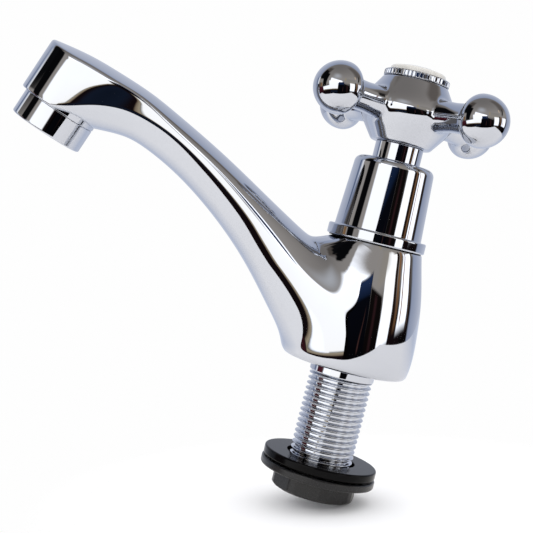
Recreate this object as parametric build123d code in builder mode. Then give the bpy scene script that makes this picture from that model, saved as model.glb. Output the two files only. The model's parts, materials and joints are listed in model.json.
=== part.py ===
from build123d import *
import os
from math import cos, hypot, radians, sin

os.makedirs("parts", exist_ok=True)

# Basin pillar tap. Millimetres, +Z up along the tail and the headwork, spout towards -X.
# The origin is the centre of the body's underside, where the tap sits on the basin.

# Driving dimensions: the cast body
base_radius = 20.5
base_corner_radius = 2.2
pillar_waist_radius = 21.1
pillar_waist_height = 7.0
pillar_middle_radius = 19.3
pillar_middle_height = 26.0
boss_radius = 15.8
boss_top = 41.0
crown_height = 3.2
valley_blend = 4.0
valley_reach = 22.0

# Driving dimensions: the nose and the aerator, in the frame of the tilted outlet
nose_centre_x = -111.3
nose_centre_z = 59.0
nose_tilt = 20.2
nose_radius = 14.2
nose_trim = 4.0
nose_height = 26.0
nose_ring_height = 10.0
outlet_thread_radius = 12.0
outlet_thread_length = 5.2
outlet_well_radius = 9.0
outlet_well_depth = 14.0
housing_radius = 12.5
housing_length = 8.5
housing_lip = 0.8
housing_lip_radius = 10.9
housing_edge_radius = 0.3
insert_radius = 11.2
insert_wall = 1.0
insert_plate = 1.6
insert_jets = 12
insert_jet_circle = 6.6
insert_jet_radius = 0.8
screen_thickness = 0.6
screen_pitch = 2.4
screen_hole = 1.7
screen_count = 5
aerator_seal_thickness = 1.5
joint_line = 0.15

# Driving dimensions: the waterway and the valve seat
channel_radius = 5.0
channel_bend_radius = 25.0
chamber_radius = 10.5
chamber_floor = 18.0
seat_height = 20.5
seat_orifice_radius = 5.8
seat_lip_radius = 8.0
inlet_orifice_floor = 15.5

# Driving dimensions: the threaded tail and what clamps it
thread_radius = 10.48
tail_bottom = -42.5
tail_bore_radius = 6.75
tail_collar_radius = 10.7
tail_collar_length = 3.3
tail_collar_seat = 1.0
tail_spigot_radius = 9.55
tail_spigot_top = 11.5
tail_seal_thickness = 1.0
tail_chamfer = 0.7
washer_top = -31.0
washer_thickness = 2.8
washer_radius = 18.85
washer_hole_radius = 11.5
washer_edge_radius = 0.5
nut_gap = 0.6
nut_rim_radius = 15.5
nut_flange_radius = 19.1
nut_flange_thickness = 2.5
nut_grip_across_flats = 26.8
nut_grip_height = 6.0
nut_grip_turn = 12.5
nut_grip_bevel = 1.2

# Driving dimensions: the headwork
valve_lift = 5.5
headwork_bottom = 32.2
headwork_flange_bottom = 42.0
headwork_flange_top = 45.0
headwork_across_flats = 24.0
headwork_barrel_radius = 11.4
headwork_top = 62.0
plunger_across_flats = 12.0
plunger_top = 45.0
plunger_run_out = 1.0
plunger_foot_radius = 7.8
plunger_foot_thickness = 2.0
washer_screw_reach = 2.4
washer_screw_head = 1.6
washer_screw_head_radius = 3.4
tap_washer_thickness = 4.0
tap_washer_radius = 7.6
spindle_thread_radius = 4.6
spindle_bottom = 35.0
thrust_collar_radius = 7.0
thrust_collar_bottom = 51.5
thrust_collar_top = 55.0
thrust_washer_thickness = 0.8
stem_radius = 5.0
stem_top = 76.0
spline_radius = 4.0
spline_top = 87.0
spline_teeth = 20
spline_tooth_radius = 0.55
seal_ring_heights = (61.0, 66.0)
seal_ring_thickness = 1.0
seal_groove_width = 1.6
neck_radius = 7.85
neck_top = 73.8
neck_chamfer = 0.4

# Driving dimensions: the bonnet shroud
collar_bottom = 41.4
collar_top = 45.0
collar_radius = 16.2
shroud_foot_radius = 14.4
shroud_shoulder_radius = 13.0
shroud_top = 68.5
shroud_shoulder = 2.4
shroud_bore_radius = 11.5
shroud_top_thickness = 2.2
shroud_foot_wall = 0.3
shroud_foot_step = 1.0
bonnet_seal_radius = 15.4
collar_edge_radius = 0.4

# Driving dimensions: the cross handle
hub_bottom = 74.2
hub_bottom_radius = 9.8
hub_flare_radius = 14.5
hub_flare_height = 80.8
hub_equator_radius = 16.0
handle_height = 85.2
hub_cone_radius = 13.0
hub_cone_height = 91.4
hub_top_radius = 10.6
hub_top = 95.2
hub_edge_radius = 0.8
hub_web_top = 88.0
hub_well_radius = 6.5
arm_count = 4
arm_turn = 42.0
arm_reach = 31.0
arm_root = 13.0
arm_root_radius = 5.4
arm_waist = 20.0
arm_waist_radius = 4.7
arm_end = 27.5
arm_end_radius = 5.1
ball_radius = 8.3
ball_dome_length = 8.7
ball_inner_length = 5.4
arm_hub_fillet = 0.8
arm_ball_fillet = 0.8
screw_head_radius = 4.2
screw_head_height = 2.6
screw_slot_width = 1.0
screw_slot_depth = 1.0
screw_shank_radius = 2.0
handle_screw_depth = 10.0
handle_screw_length = 9.0
ring_radius = 10.75
ring_top = 97.2
ring_spigot_radius = 9.2
ring_spigot_length = 1.8
ring_ledge_radius = 8.2
button_radius = 9.1
button_edge_top = 97.6
button_top = 100.2

fit_gap = 0.05
bush_bottom = thrust_collar_top + thrust_washer_thickness + 2 * fit_gap
plunger_bottom = seat_height + tap_washer_thickness

# Stations of the spout, from the base of the pillar to the nose. Each one gives the keel point (x, z),
# the crown point (x, z), the half width, the depth of the rounded keel and the half width at the crown.
spout_stations = [
    (-20.9, 0.0, 9.4, 0.0, 20.75, 20.9, 18.0),
    (-23.4, 5.5, 6.5, 12.5, 20.4, 21.5, 17.0),
    (-28.8, 12.5, -2.0, 26.0, 18.2, 19.0, 14.0),
    (-36.5, 21.4, -16.0, 35.5, 15.2, 14.0, 12.6),
    (-46.5, 31.4, -34.0, 45.6, 12.9, 11.0, 11.8),
    (-62.5, 43.8, -54.5, 57.4, 11.8, 9.5, 11.3),
    (-80.0, 53.2, -74.5, 67.6, 12.2, 9.0, 11.9),
]
# Stations of the nose in the outlet's frame: distance behind the outlet axis, keel height, crown height,
# half width, depth of the rounded keel and half width at the crown.
nose_stations = [
    (24.0, 5.0, 21.4, 13.0, 8.0, 12.8),
    (11.0, 0.5, 21.3, 14.1, 6.0, 14.0),
    (0.0, -2.0, 20.6, 14.2, 2.5, 14.15),
    (-15.0, -2.0, 18.0, 14.2, 2.5, 14.15),
]
channel_points = [(-4, 23.5), (-34, 34), (-62, 52.5), (-90, 64.6), (-113, 67.5)]

nose_plane = Plane(
    origin=(nose_centre_x, 0, nose_centre_z),
    x_dir=(cos(radians(nose_tilt)), 0, -sin(radians(nose_tilt))),
    z_dir=(sin(radians(nose_tilt)), 0, cos(radians(nose_tilt))),
)


def nose_point(behind, above):
    """Point (x, z) of the tap that lies so far behind and above the centre of the outlet."""
    point = nose_plane.from_local_coords(Vector(behind, 0, above))
    return point.X, point.Z


def section_plane(keel_point, crown_point):
    """Plane of one station: local x runs across the spout, local y from the keel to the crown."""
    along = (crown_point[0] - keel_point[0], crown_point[1] - keel_point[1])
    return Plane(
        origin=(keel_point[0], 0, keel_point[1]),
        x_dir=(0, 1, 0),
        z_dir=(along[1], 0, -along[0]),
    )


stations = [((s[0], s[1]), (s[2], s[3]), *s[4:]) for s in spout_stations]
stations += [(nose_point(s[0], s[1]), nose_point(s[0], s[2]), *s[3:]) for s in nose_stations]

with BuildPart() as body_casting:
    # Swept spout, from the foot of the pillar to the nose
    for keel_point, crown_point, half_width, keel, crown_half in stations:
        height = hypot(crown_point[0] - keel_point[0], crown_point[1] - keel_point[1])
        shoulder = height - crown_height
        with BuildSketch(section_plane(keel_point, crown_point)):
            with BuildLine():
                EllipticalCenterArc((0, keel), half_width, keel, start_angle=270, arc_size=90)
                Line((half_width, keel), (crown_half, shoulder))
                ThreePointArc((crown_half, shoulder), (0, height), (-crown_half, shoulder))
                Line((-crown_half, shoulder), (-half_width, keel))
                EllipticalCenterArc((0, keel), half_width, keel, start_angle=180, arc_size=90)
            make_face()
    loft()
    # Round front of the nose and flat outlet face
    with BuildSketch(nose_plane.offset(-nose_trim)):
        with Locations((-nose_radius, 0)):
            Rectangle(2 * nose_radius, 4 * nose_radius)
        Circle(nose_radius, mode=Mode.SUBTRACT)
    extrude(amount=nose_trim + nose_height, mode=Mode.SUBTRACT)
    with BuildSketch(nose_plane):
        Rectangle(4 * nose_radius, 4 * nose_radius)
    extrude(amount=-nose_trim, mode=Mode.SUBTRACT)
    with BuildSketch(nose_plane):
        Circle(nose_radius)
    extrude(amount=nose_ring_height)
    # Round pillar and the boss for the headwork
    with BuildSketch(Plane.XZ):
        with BuildLine():
            Line((0, 0), (base_radius, 0))
            Line((base_radius, 0), (pillar_waist_radius, pillar_waist_height))
            ThreePointArc(
                (pillar_waist_radius, pillar_waist_height),
                (pillar_middle_radius, pillar_middle_height),
                (boss_radius, boss_top),
            )
            Line((boss_radius, boss_top), (0, boss_top))
            Line((0, boss_top), (0, 0))
        make_face()
    revolve(axis=Axis.Z)
    # Rounded foot
    foot = body_casting.edges().filter_by_position(Axis.Z, -0.01, 0.01)
    fillet(foot, base_corner_radius)
    # Blend between spout and pillar
    seams = body_casting.edges().filter_by(GeomType.BSPLINE)
    seams = seams.filter_by(lambda edge: edge.center().Z > pillar_waist_height)
    fillet(seams.filter_by(lambda edge: hypot(edge.center().X, edge.center().Y) < valley_reach), valley_blend)
    # Socket for the tail, inlet orifice and valve chamber with its raised seat
    with BuildSketch(Plane.XY):
        Circle(tail_collar_radius + fit_gap)
    extrude(amount=tail_collar_seat, mode=Mode.SUBTRACT)
    with BuildSketch(Plane.XY):
        Circle(tail_spigot_radius + fit_gap)
    extrude(amount=tail_spigot_top + tail_seal_thickness, mode=Mode.SUBTRACT)
    with BuildSketch(Plane.XY):
        Circle(tail_bore_radius)
    extrude(amount=inlet_orifice_floor, mode=Mode.SUBTRACT)
    with BuildSketch(Plane.XY.offset(chamber_floor)):
        Circle(chamber_radius)
    extrude(amount=boss_top - chamber_floor, mode=Mode.SUBTRACT)
    # Cored channel through the spout and the threaded well under the nose
    with BuildLine(Plane.XZ) as channel_path:
        FilletPolyline(*channel_points, radius=channel_bend_radius)
    with BuildSketch(Plane(origin=channel_path.line @ 0, z_dir=channel_path.line % 0)):
        Circle(channel_radius)
    sweep(path=channel_path.line, mode=Mode.SUBTRACT)
    with BuildSketch(nose_plane):
        Circle(outlet_well_radius)
    extrude(amount=outlet_well_depth, mode=Mode.SUBTRACT)
    with BuildSketch(nose_plane):
        Circle(outlet_thread_radius + fit_gap)
    extrude(amount=outlet_thread_length + aerator_seal_thickness, mode=Mode.SUBTRACT)
    # Raised seat and its orifice
    with BuildSketch(Plane.XY.offset(chamber_floor)):
        Circle(seat_lip_radius)
    extrude(amount=seat_height - chamber_floor)
    with BuildSketch(Plane.XY):
        Circle(seat_orifice_radius)
    extrude(amount=seat_height, mode=Mode.SUBTRACT)

with BuildPart() as threaded_tail:
    with BuildSketch(Plane.XY.offset(tail_bottom)):
        Circle(thread_radius)
    extrude(amount=-tail_bottom)
    with BuildSketch(Plane.XY.offset(-tail_collar_length)):
        Circle(tail_collar_radius)
    extrude(amount=tail_collar_length + tail_collar_seat)
    with BuildSketch(Plane.XY):
        Circle(tail_spigot_radius)
    extrude(amount=tail_spigot_top)
    with BuildSketch(Plane.XY.offset(tail_bottom)):
        Circle(tail_bore_radius)
    extrude(amount=tail_spigot_top - tail_bottom, mode=Mode.SUBTRACT)
    ends = threaded_tail.edges().filter_by(GeomType.CIRCLE)
    chamfer(ends.group_by(Axis.Z)[0].sort_by(SortBy.RADIUS)[-1], tail_chamfer)
    chamfer(ends.group_by(Axis.Z)[-1].sort_by(SortBy.RADIUS)[-1], tail_chamfer)

with BuildPart() as tail_seal:
    with BuildSketch(Plane.XY.offset(tail_spigot_top)):
        Circle(tail_spigot_radius)
        Circle(tail_bore_radius, mode=Mode.SUBTRACT)
    extrude(amount=tail_seal_thickness)

with BuildPart() as backnut_washer:
    with BuildSketch(Plane.XY.offset(washer_top)):
        Circle(washer_radius)
        Circle(washer_hole_radius, mode=Mode.SUBTRACT)
    extrude(amount=-washer_thickness)
    rims = backnut_washer.edges().filter_by(GeomType.CIRCLE)
    fillet(rims.sort_by(SortBy.RADIUS)[-2:], washer_edge_radius)

nut_top = washer_top - washer_thickness - nut_gap
with BuildPart() as backnut:
    with BuildSketch(Plane.XY.offset(nut_top)):
        Circle(nut_flange_radius)
    extrude(amount=-nut_flange_thickness)
    with BuildSketch(Plane.XY.offset(nut_top)):
        Circle(nut_rim_radius)
    extrude(amount=nut_gap - fit_gap)
    # Octagonal grip with a turned bevel on its lower corners
    with BuildSketch(Plane.XY.offset(nut_top - nut_flange_thickness)):
        RegularPolygon(nut_grip_across_flats / 2, 8, major_radius=False, rotation=nut_grip_turn)
    extrude(amount=-nut_grip_height)
    grip_corner = nut_grip_across_flats / 2 / cos(radians(22.5))
    nut_bottom = nut_top - nut_flange_thickness - nut_grip_height
    with BuildSketch(Plane.XZ):
        with BuildLine():
            Polyline(
                (grip_corner - nut_grip_bevel, nut_bottom),
                (grip_corner + nut_grip_bevel, nut_bottom),
                (grip_corner + nut_grip_bevel, nut_bottom + 2 * nut_grip_bevel),
                close=True,
            )
        make_face()
    revolve(axis=Axis.Z, mode=Mode.SUBTRACT)
    with BuildSketch(Plane.XY.offset(nut_bottom)):
        Circle(thread_radius + fit_gap)
    extrude(amount=-nut_bottom + washer_top, mode=Mode.SUBTRACT)
    flange_edges = backnut.edges().filter_by(GeomType.CIRCLE).sort_by(SortBy.RADIUS)[-2:]
    fillet(flange_edges, washer_edge_radius)

with BuildPart() as headwork_washer:
    with BuildSketch(Plane.XY.offset(boss_top)):
        Circle(headwork_across_flats / 2)
        Circle(chamber_radius + fit_gap, mode=Mode.SUBTRACT)
    extrude(amount=headwork_flange_bottom - boss_top)

with BuildPart() as headwork_body:
    # Threaded foot, hexagon flange and barrel
    with BuildSketch(Plane.XY.offset(headwork_bottom)):
        Circle(chamber_radius - fit_gap)
    extrude(amount=headwork_flange_bottom - headwork_bottom)
    with BuildSketch(Plane.XY.offset(headwork_flange_bottom)):
        RegularPolygon(headwork_across_flats / 2, 6, major_radius=False)
    extrude(amount=headwork_flange_top - headwork_flange_bottom)
    with BuildSketch(Plane.XY.offset(headwork_flange_top)):
        Circle(headwork_barrel_radius)
    extrude(amount=headwork_top - headwork_flange_top)
    # Hexagonal guide for the plunger, thrust recess and thread for the bush
    with BuildSketch(Plane.XY.offset(headwork_bottom)):
        RegularPolygon(plunger_across_flats / 2 + fit_gap, 6, major_radius=False)
    extrude(amount=headwork_top - headwork_bottom, mode=Mode.SUBTRACT)
    with BuildSketch(Plane.XY.offset(thrust_collar_bottom - fit_gap)):
        Circle(thrust_collar_radius + 2 * fit_gap)
    extrude(amount=headwork_top - thrust_collar_bottom + fit_gap, mode=Mode.SUBTRACT)
    with BuildSketch(Plane.XY.offset(bush_bottom)):
        Circle(neck_radius + fit_gap)
    extrude(amount=headwork_top - bush_bottom, mode=Mode.SUBTRACT)

with BuildPart() as thrust_washer:
    with BuildSketch(Plane.XY.offset(thrust_collar_top + fit_gap)):
        Circle(thrust_collar_radius)
        Circle(stem_radius + fit_gap, mode=Mode.SUBTRACT)
    extrude(amount=thrust_washer_thickness)

with BuildPart() as spindle_bush:
    with BuildSketch(Plane.XY.offset(bush_bottom)):
        Circle(neck_radius)
        Circle(stem_radius + fit_gap, mode=Mode.SUBTRACT)
    extrude(amount=neck_top - bush_bottom)
    rims = spindle_bush.edges().filter_by(GeomType.CIRCLE)
    chamfer(rims.group_by(Axis.Z)[-1].sort_by(SortBy.RADIUS)[-1], neck_chamfer)

with BuildPart() as spindle:
    # Threaded foot, thrust collar, stem with its seal grooves and the splined head
    with BuildSketch(Plane.XY.offset(spindle_bottom)):
        Circle(spindle_thread_radius)
    extrude(amount=thrust_collar_bottom - spindle_bottom)
    with BuildSketch(Plane.XY.offset(thrust_collar_bottom)):
        Circle(thrust_collar_radius)
    extrude(amount=thrust_collar_top - thrust_collar_bottom)
    with BuildSketch(Plane.XY.offset(thrust_collar_top)):
        Circle(stem_radius)
    extrude(amount=stem_top - thrust_collar_top)
    with BuildSketch(Plane.XY.offset(stem_top)):
        Circle(spline_radius)
        with PolarLocations(spline_radius, spline_teeth):
            RegularPolygon(spline_tooth_radius, 3)
    extrude(amount=spline_top - stem_top)
    for groove_bottom in seal_ring_heights:
        with BuildSketch(Plane.XY.offset(groove_bottom)):
            Circle(stem_radius + seal_ring_thickness)
            Circle(stem_radius - seal_ring_thickness, mode=Mode.SUBTRACT)
        extrude(amount=seal_groove_width, mode=Mode.SUBTRACT)
    with BuildSketch(Plane.XY.offset(spline_top)):
        Circle(screw_shank_radius + fit_gap)
    extrude(amount=-handle_screw_depth, mode=Mode.SUBTRACT)

with BuildPart() as spindle_orings:
    for groove_bottom in seal_ring_heights:
        with BuildSketch(Plane.XZ):
            with Locations((stem_radius - seal_ring_thickness / 2, groove_bottom + seal_groove_width / 2)):
                Ellipse(seal_ring_thickness / 2, seal_groove_width / 2 - fit_gap)
        revolve(axis=Axis.Z)

with BuildPart() as valve_plunger:
    # Foot plate that carries the washer, and the hexagonal nut that the spindle's thread lifts
    with BuildSketch(Plane.XY.offset(plunger_bottom)):
        Circle(plunger_foot_radius)
    extrude(amount=plunger_foot_thickness)
    with BuildSketch(Plane.XY.offset(plunger_bottom)):
        RegularPolygon(plunger_across_flats / 2, 6, major_radius=False)
    extrude(amount=plunger_top - plunger_bottom)
    with BuildSketch(Plane.XY.offset(plunger_top)):
        Circle(spindle_thread_radius + fit_gap)
    extrude(amount=spindle_bottom - plunger_top - valve_lift - plunger_run_out, mode=Mode.SUBTRACT)
    with BuildSketch(Plane.XY.offset(plunger_bottom)):
        Circle(screw_shank_radius)
    extrude(amount=washer_screw_reach, mode=Mode.SUBTRACT)

with BuildPart() as tap_washer:
    with BuildSketch(Plane.XY.offset(seat_height)):
        Circle(tap_washer_radius)
        Circle(screw_shank_radius, mode=Mode.SUBTRACT)
    extrude(amount=tap_washer_thickness)

with BuildPart() as washer_screw:
    with BuildSketch(Plane.XY.offset(seat_height)):
        Circle(washer_screw_head_radius)
    extrude(amount=-washer_screw_head)
    with BuildSketch(Plane.XY.offset(seat_height)):
        Circle(screw_shank_radius)
    extrude(amount=tap_washer_thickness + washer_screw_reach)

with BuildPart() as bonnet_seal:
    with BuildSketch(Plane.XY.offset(boss_top)):
        Circle(bonnet_seal_radius)
        Circle(shroud_foot_radius, mode=Mode.SUBTRACT)
    extrude(amount=collar_bottom - boss_top)

with BuildPart() as bonnet_shroud:
    with BuildSketch(Plane.XZ):
        with BuildLine():
            Polyline(
                (neck_radius + fit_gap, shroud_top),
                (shroud_shoulder_radius, shroud_top),
                (shroud_foot_radius, collar_top),
                (collar_radius, collar_top),
                (collar_radius, collar_bottom),
                (shroud_foot_radius, collar_bottom),
                (shroud_foot_radius, collar_top - shroud_foot_wall),
                (shroud_bore_radius, collar_top + shroud_foot_step),
                (shroud_bore_radius, shroud_top - shroud_top_thickness),
                (neck_radius + fit_gap, shroud_top - shroud_top_thickness),
                close=True,
            )
        make_face()
    revolve(axis=Axis.Z)
    rims = bonnet_shroud.edges().filter_by(GeomType.CIRCLE)
    fillet(rims.group_by(Axis.Z)[-1].sort_by(SortBy.RADIUS)[-1], shroud_shoulder)
    fillet(rims.sort_by(SortBy.RADIUS)[-2:], collar_edge_radius)

with BuildPart() as handle_cross:
    # Hub, a rounded double cone
    with BuildSketch(Plane.XZ):
        with BuildLine():
            Line((0, hub_bottom), (hub_bottom_radius, hub_bottom))
            Line((hub_bottom_radius, hub_bottom), (hub_flare_radius, hub_flare_height))
            Spline(
                (hub_flare_radius, hub_flare_height),
                (hub_equator_radius, handle_height),
                (hub_cone_radius, hub_cone_height),
                (hub_top_radius, hub_top),
            )
            Line((hub_top_radius, hub_top), (0, hub_top))
            Line((0, hub_top), (0, hub_bottom))
        make_face()
    revolve(axis=Axis.Z)
    # Four waisted arms with ball ends
    for index in range(arm_count):
        turn = arm_turn + index * 360 / arm_count
        outward = (cos(radians(turn)), sin(radians(turn)), 0)
        arm_plane = Plane(origin=(0, 0, handle_height), x_dir=outward, z_dir=(outward[1], -outward[0], 0))
        with BuildSketch(arm_plane):
            with BuildLine():
                Line((0, 0), (0, arm_root_radius))
                Line((0, arm_root_radius), (arm_root, arm_root_radius))
                Spline(
                    (arm_root, arm_root_radius),
                    (arm_waist, arm_waist_radius),
                    (arm_end, arm_end_radius),
                )
                Line((arm_end, arm_end_radius), (arm_reach, 0))
                Line((arm_reach, 0), (0, 0))
            make_face()
            with BuildLine():
                ball = (arm_reach, 0)
                EllipticalCenterArc(ball, ball_dome_length, ball_radius, start_angle=0, arc_size=90)
                EllipticalCenterArc(ball, ball_inner_length, ball_radius, start_angle=90, arc_size=90)
                Line((arm_reach - ball_inner_length, 0), (arm_reach + ball_dome_length, 0))
            make_face()
        revolve(axis=Axis(origin=(0, 0, handle_height), direction=outward))
    # Small fillets where the arms leave the hub and meet the balls, and round the lower edge
    fillet(handle_cross.edges().filter_by(GeomType.BSPLINE), arm_hub_fillet)
    circles = handle_cross.edges().filter_by(GeomType.CIRCLE)
    necks = circles.filter_by(lambda edge: arm_waist < hypot(edge.center().X, edge.center().Y) < arm_reach)
    fillet(necks, arm_ball_fillet)
    fillet(handle_cross.edges().filter_by(GeomType.CIRCLE).group_by(Axis.Z)[0], hub_edge_radius)
    # Bore for the stem, splined seat, well for the screw and seat of the index ring
    with BuildSketch(Plane.XY.offset(hub_bottom)):
        Circle(stem_radius + fit_gap)
    extrude(amount=stem_top - hub_bottom, mode=Mode.SUBTRACT)
    with BuildSketch(Plane.XY.offset(stem_top)):
        Circle(spline_radius + fit_gap)
        with PolarLocations(spline_radius + fit_gap, spline_teeth):
            RegularPolygon(spline_tooth_radius + fit_gap, 3)
    extrude(amount=hub_web_top - stem_top, mode=Mode.SUBTRACT)
    with BuildSketch(Plane.XY.offset(hub_web_top)):
        Circle(hub_well_radius)
    extrude(amount=hub_top - hub_web_top, mode=Mode.SUBTRACT)
    with BuildSketch(Plane.XY.offset(hub_top)):
        Circle(ring_spigot_radius + fit_gap)
    extrude(amount=-ring_spigot_length, mode=Mode.SUBTRACT)

with BuildPart() as handle_screw:
    with BuildSketch(Plane.XY.offset(hub_web_top)):
        Circle(screw_head_radius)
    extrude(amount=screw_head_height)
    with BuildSketch(Plane.XY.offset(hub_web_top)):
        Circle(screw_shank_radius)
    extrude(amount=-handle_screw_length)
    with BuildSketch(Plane.XY.offset(hub_web_top + screw_head_height)):
        Rectangle(2 * screw_head_radius, screw_slot_width)
    extrude(amount=-screw_slot_depth, mode=Mode.SUBTRACT)

with BuildPart() as index_ring:
    with BuildSketch(Plane.XY.offset(hub_top)):
        Circle(ring_radius)
        Circle(button_radius + fit_gap, mode=Mode.SUBTRACT)
    extrude(amount=ring_top - hub_top)
    with BuildSketch(Plane.XY.offset(hub_top)):
        Circle(ring_spigot_radius)
        Circle(ring_ledge_radius, mode=Mode.SUBTRACT)
    extrude(amount=-ring_spigot_length)

with BuildPart() as index_button:
    with BuildSketch(Plane.XZ):
        with BuildLine():
            Line((0, hub_top), (button_radius, hub_top))
            Line((button_radius, hub_top), (button_radius, button_edge_top))
            TangentArc((0, button_top), (button_radius, button_edge_top), tangent=(1, 0))
            Line((0, button_top), (0, hub_top))
        make_face()
    revolve(axis=Axis.Z)

with BuildPart() as aerator_housing:
    with BuildSketch(nose_plane.offset(-joint_line)):
        Circle(housing_radius)
    extrude(amount=-(housing_length - joint_line))
    fillet(aerator_housing.edges().filter_by(GeomType.CIRCLE), housing_edge_radius)
    with BuildSketch(nose_plane.offset(-joint_line)):
        Circle(outlet_thread_radius)
    extrude(amount=outlet_thread_length + joint_line)
    with BuildSketch(nose_plane.offset(outlet_thread_length)):
        Circle(insert_radius + fit_gap)
    extrude(amount=-(outlet_thread_length + housing_length - housing_lip), mode=Mode.SUBTRACT)
    with BuildSketch(nose_plane.offset(-housing_length)):
        Circle(housing_lip_radius)
    extrude(amount=2 * housing_lip, mode=Mode.SUBTRACT)

with BuildPart() as aerator_seal:
    with BuildSketch(nose_plane.offset(outlet_thread_length)):
        Circle(outlet_thread_radius)
        Circle(outlet_well_radius, mode=Mode.SUBTRACT)
    extrude(amount=aerator_seal_thickness)

screen_bottom = -(housing_length - housing_lip)
with BuildPart() as aerator_screen:
    with BuildSketch(nose_plane.offset(screen_bottom)):
        Circle(insert_radius)
        with GridLocations(screen_pitch, screen_pitch, screen_count, screen_count):
            Rectangle(screen_hole, screen_hole, mode=Mode.SUBTRACT)
    extrude(amount=screen_thickness)

with BuildPart() as aerator_insert:
    with BuildSketch(nose_plane.offset(screen_bottom + screen_thickness)):
        Circle(insert_radius)
        Circle(insert_radius - insert_wall, mode=Mode.SUBTRACT)
        Rectangle(2 * insert_radius - insert_wall, insert_wall)
        Rectangle(insert_wall, 2 * insert_radius - insert_wall)
    extrude(amount=outlet_thread_length - screen_bottom - screen_thickness)
    with BuildSketch(nose_plane.offset(outlet_thread_length)):
        Circle(insert_radius)
        with PolarLocations(insert_jet_circle, insert_jets):
            Circle(insert_jet_radius, mode=Mode.SUBTRACT)
    extrude(amount=-insert_plate)

pieces = {
    "body_casting": body_casting,
    "threaded_tail": threaded_tail,
    "tail_seal": tail_seal,
    "backnut_washer": backnut_washer,
    "backnut": backnut,
    "headwork_washer": headwork_washer,
    "headwork_body": headwork_body,
    "thrust_washer": thrust_washer,
    "spindle_bush": spindle_bush,
    "spindle": spindle,
    "spindle_orings": spindle_orings,
    "valve_plunger": valve_plunger,
    "tap_washer": tap_washer,
    "washer_screw": washer_screw,
    "bonnet_seal": bonnet_seal,
    "bonnet_shroud": bonnet_shroud,
    "handle_cross": handle_cross,
    "handle_screw": handle_screw,
    "index_ring": index_ring,
    "index_button": index_button,
    "aerator_housing": aerator_housing,
    "aerator_seal": aerator_seal,
    "aerator_screen": aerator_screen,
    "aerator_insert": aerator_insert,
}
for name, piece in pieces.items():
    piece.part.label = name
    export_step(piece.part, f"parts/{name}.step")
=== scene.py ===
"""Chrome basin pillar tap: the finish of every surface, the camera and the studio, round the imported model."""

import json
from math import cos, hypot, pi, radians, sin, tan

import bmesh
import bpy
import numpy as np
from mathutils import Matrix, Vector


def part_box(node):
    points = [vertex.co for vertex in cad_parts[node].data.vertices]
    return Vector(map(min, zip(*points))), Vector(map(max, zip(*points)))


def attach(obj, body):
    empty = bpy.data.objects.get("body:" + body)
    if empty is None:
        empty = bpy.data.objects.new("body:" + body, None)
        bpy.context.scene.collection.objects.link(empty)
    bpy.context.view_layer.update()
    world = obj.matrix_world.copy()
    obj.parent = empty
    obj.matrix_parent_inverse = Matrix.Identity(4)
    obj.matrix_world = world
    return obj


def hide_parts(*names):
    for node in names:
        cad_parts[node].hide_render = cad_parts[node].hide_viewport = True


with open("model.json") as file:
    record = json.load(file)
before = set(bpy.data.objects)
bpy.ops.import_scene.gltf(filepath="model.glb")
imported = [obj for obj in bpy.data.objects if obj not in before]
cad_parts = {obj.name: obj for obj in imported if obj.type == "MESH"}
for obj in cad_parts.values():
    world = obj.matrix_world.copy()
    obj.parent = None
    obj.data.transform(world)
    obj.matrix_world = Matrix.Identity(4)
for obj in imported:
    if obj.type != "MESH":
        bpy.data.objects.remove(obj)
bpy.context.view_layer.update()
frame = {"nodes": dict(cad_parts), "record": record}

# Lengths are in millimetres until a mesh is made. The frame is the CAD's: +Z up, spout towards -X.
MM = 0.001

# Driving dimensions: the cast body
foot_rounding = 3.6
boss_top = 41.0
boss_overrun = 2.0
crown_height = 3.2
crease_rounding = 1.5
tuck_bend = 2.0
outlet_centre = (-111.3, 0.0, 59.0)
outlet_tilt = radians(20.2)
outlet_thread_radius = 12.0
outlet_thread_length = 5.2
joint_line = 0.15
nose_boss_radius = 12.6
nose_boss_bore = 11.2
nose_boss_height = 3.0

# Driving dimensions: the turned pieces, the tail, the nut and the wire screen
collar_radius = 16.2
shroud_foot_radius = 14.4
shroud_shoulder_radius = 13.0
neck_radius = 7.85
housing_radius = 12.5
housing_length = 8.5
housing_lip_radius = 10.9
thread_radius = 10.48
thread_root_radius = 9.35
thread_pitch = 25.4 / 14
thread_turns = 26
tail_bore_radius = 6.75
tail_collar_radius = 10.7
tail_collar_top = 1.0
tail_collar_bottom = -3.3
washer_bore_radius = 11.5
nut_sides = 8
nut_turn = radians(12.5)
nut_flat_distance = 13.4
nut_rim_radius = 15.5
nut_flange_top = -34.4
nut_flange_bottom = -36.9
screen_wires = 27
screen_spacing = 0.82
screen_wire_radius = 0.17
screen_height = 1.1

# Driving dimensions: the handle
handle_height = 85.2
arm_turn = 42.0
arm_count = 4
arm_reach = 31.0
ball_radius = 8.3
ball_dome_length = 8.7
ball_inner_length = 5.4
hub_rounding = 0.9
ball_blend = 1.3
arm_blend = 1.5
ring_radius = 10.75
ring_flutes = 54
flute_depth = 0.32
button_radius = 9.1
button_dome = 1.5
button_shoulder = 0.9

# How finely the skins of the body and the handle are divided
row_spacing = 0.42
nose_slices = 72
handle_voxel = 0.42
# A face takes the skin's own normals only where it turns away from them by less than this cosine says
skin_agreement = 0.93

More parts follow.
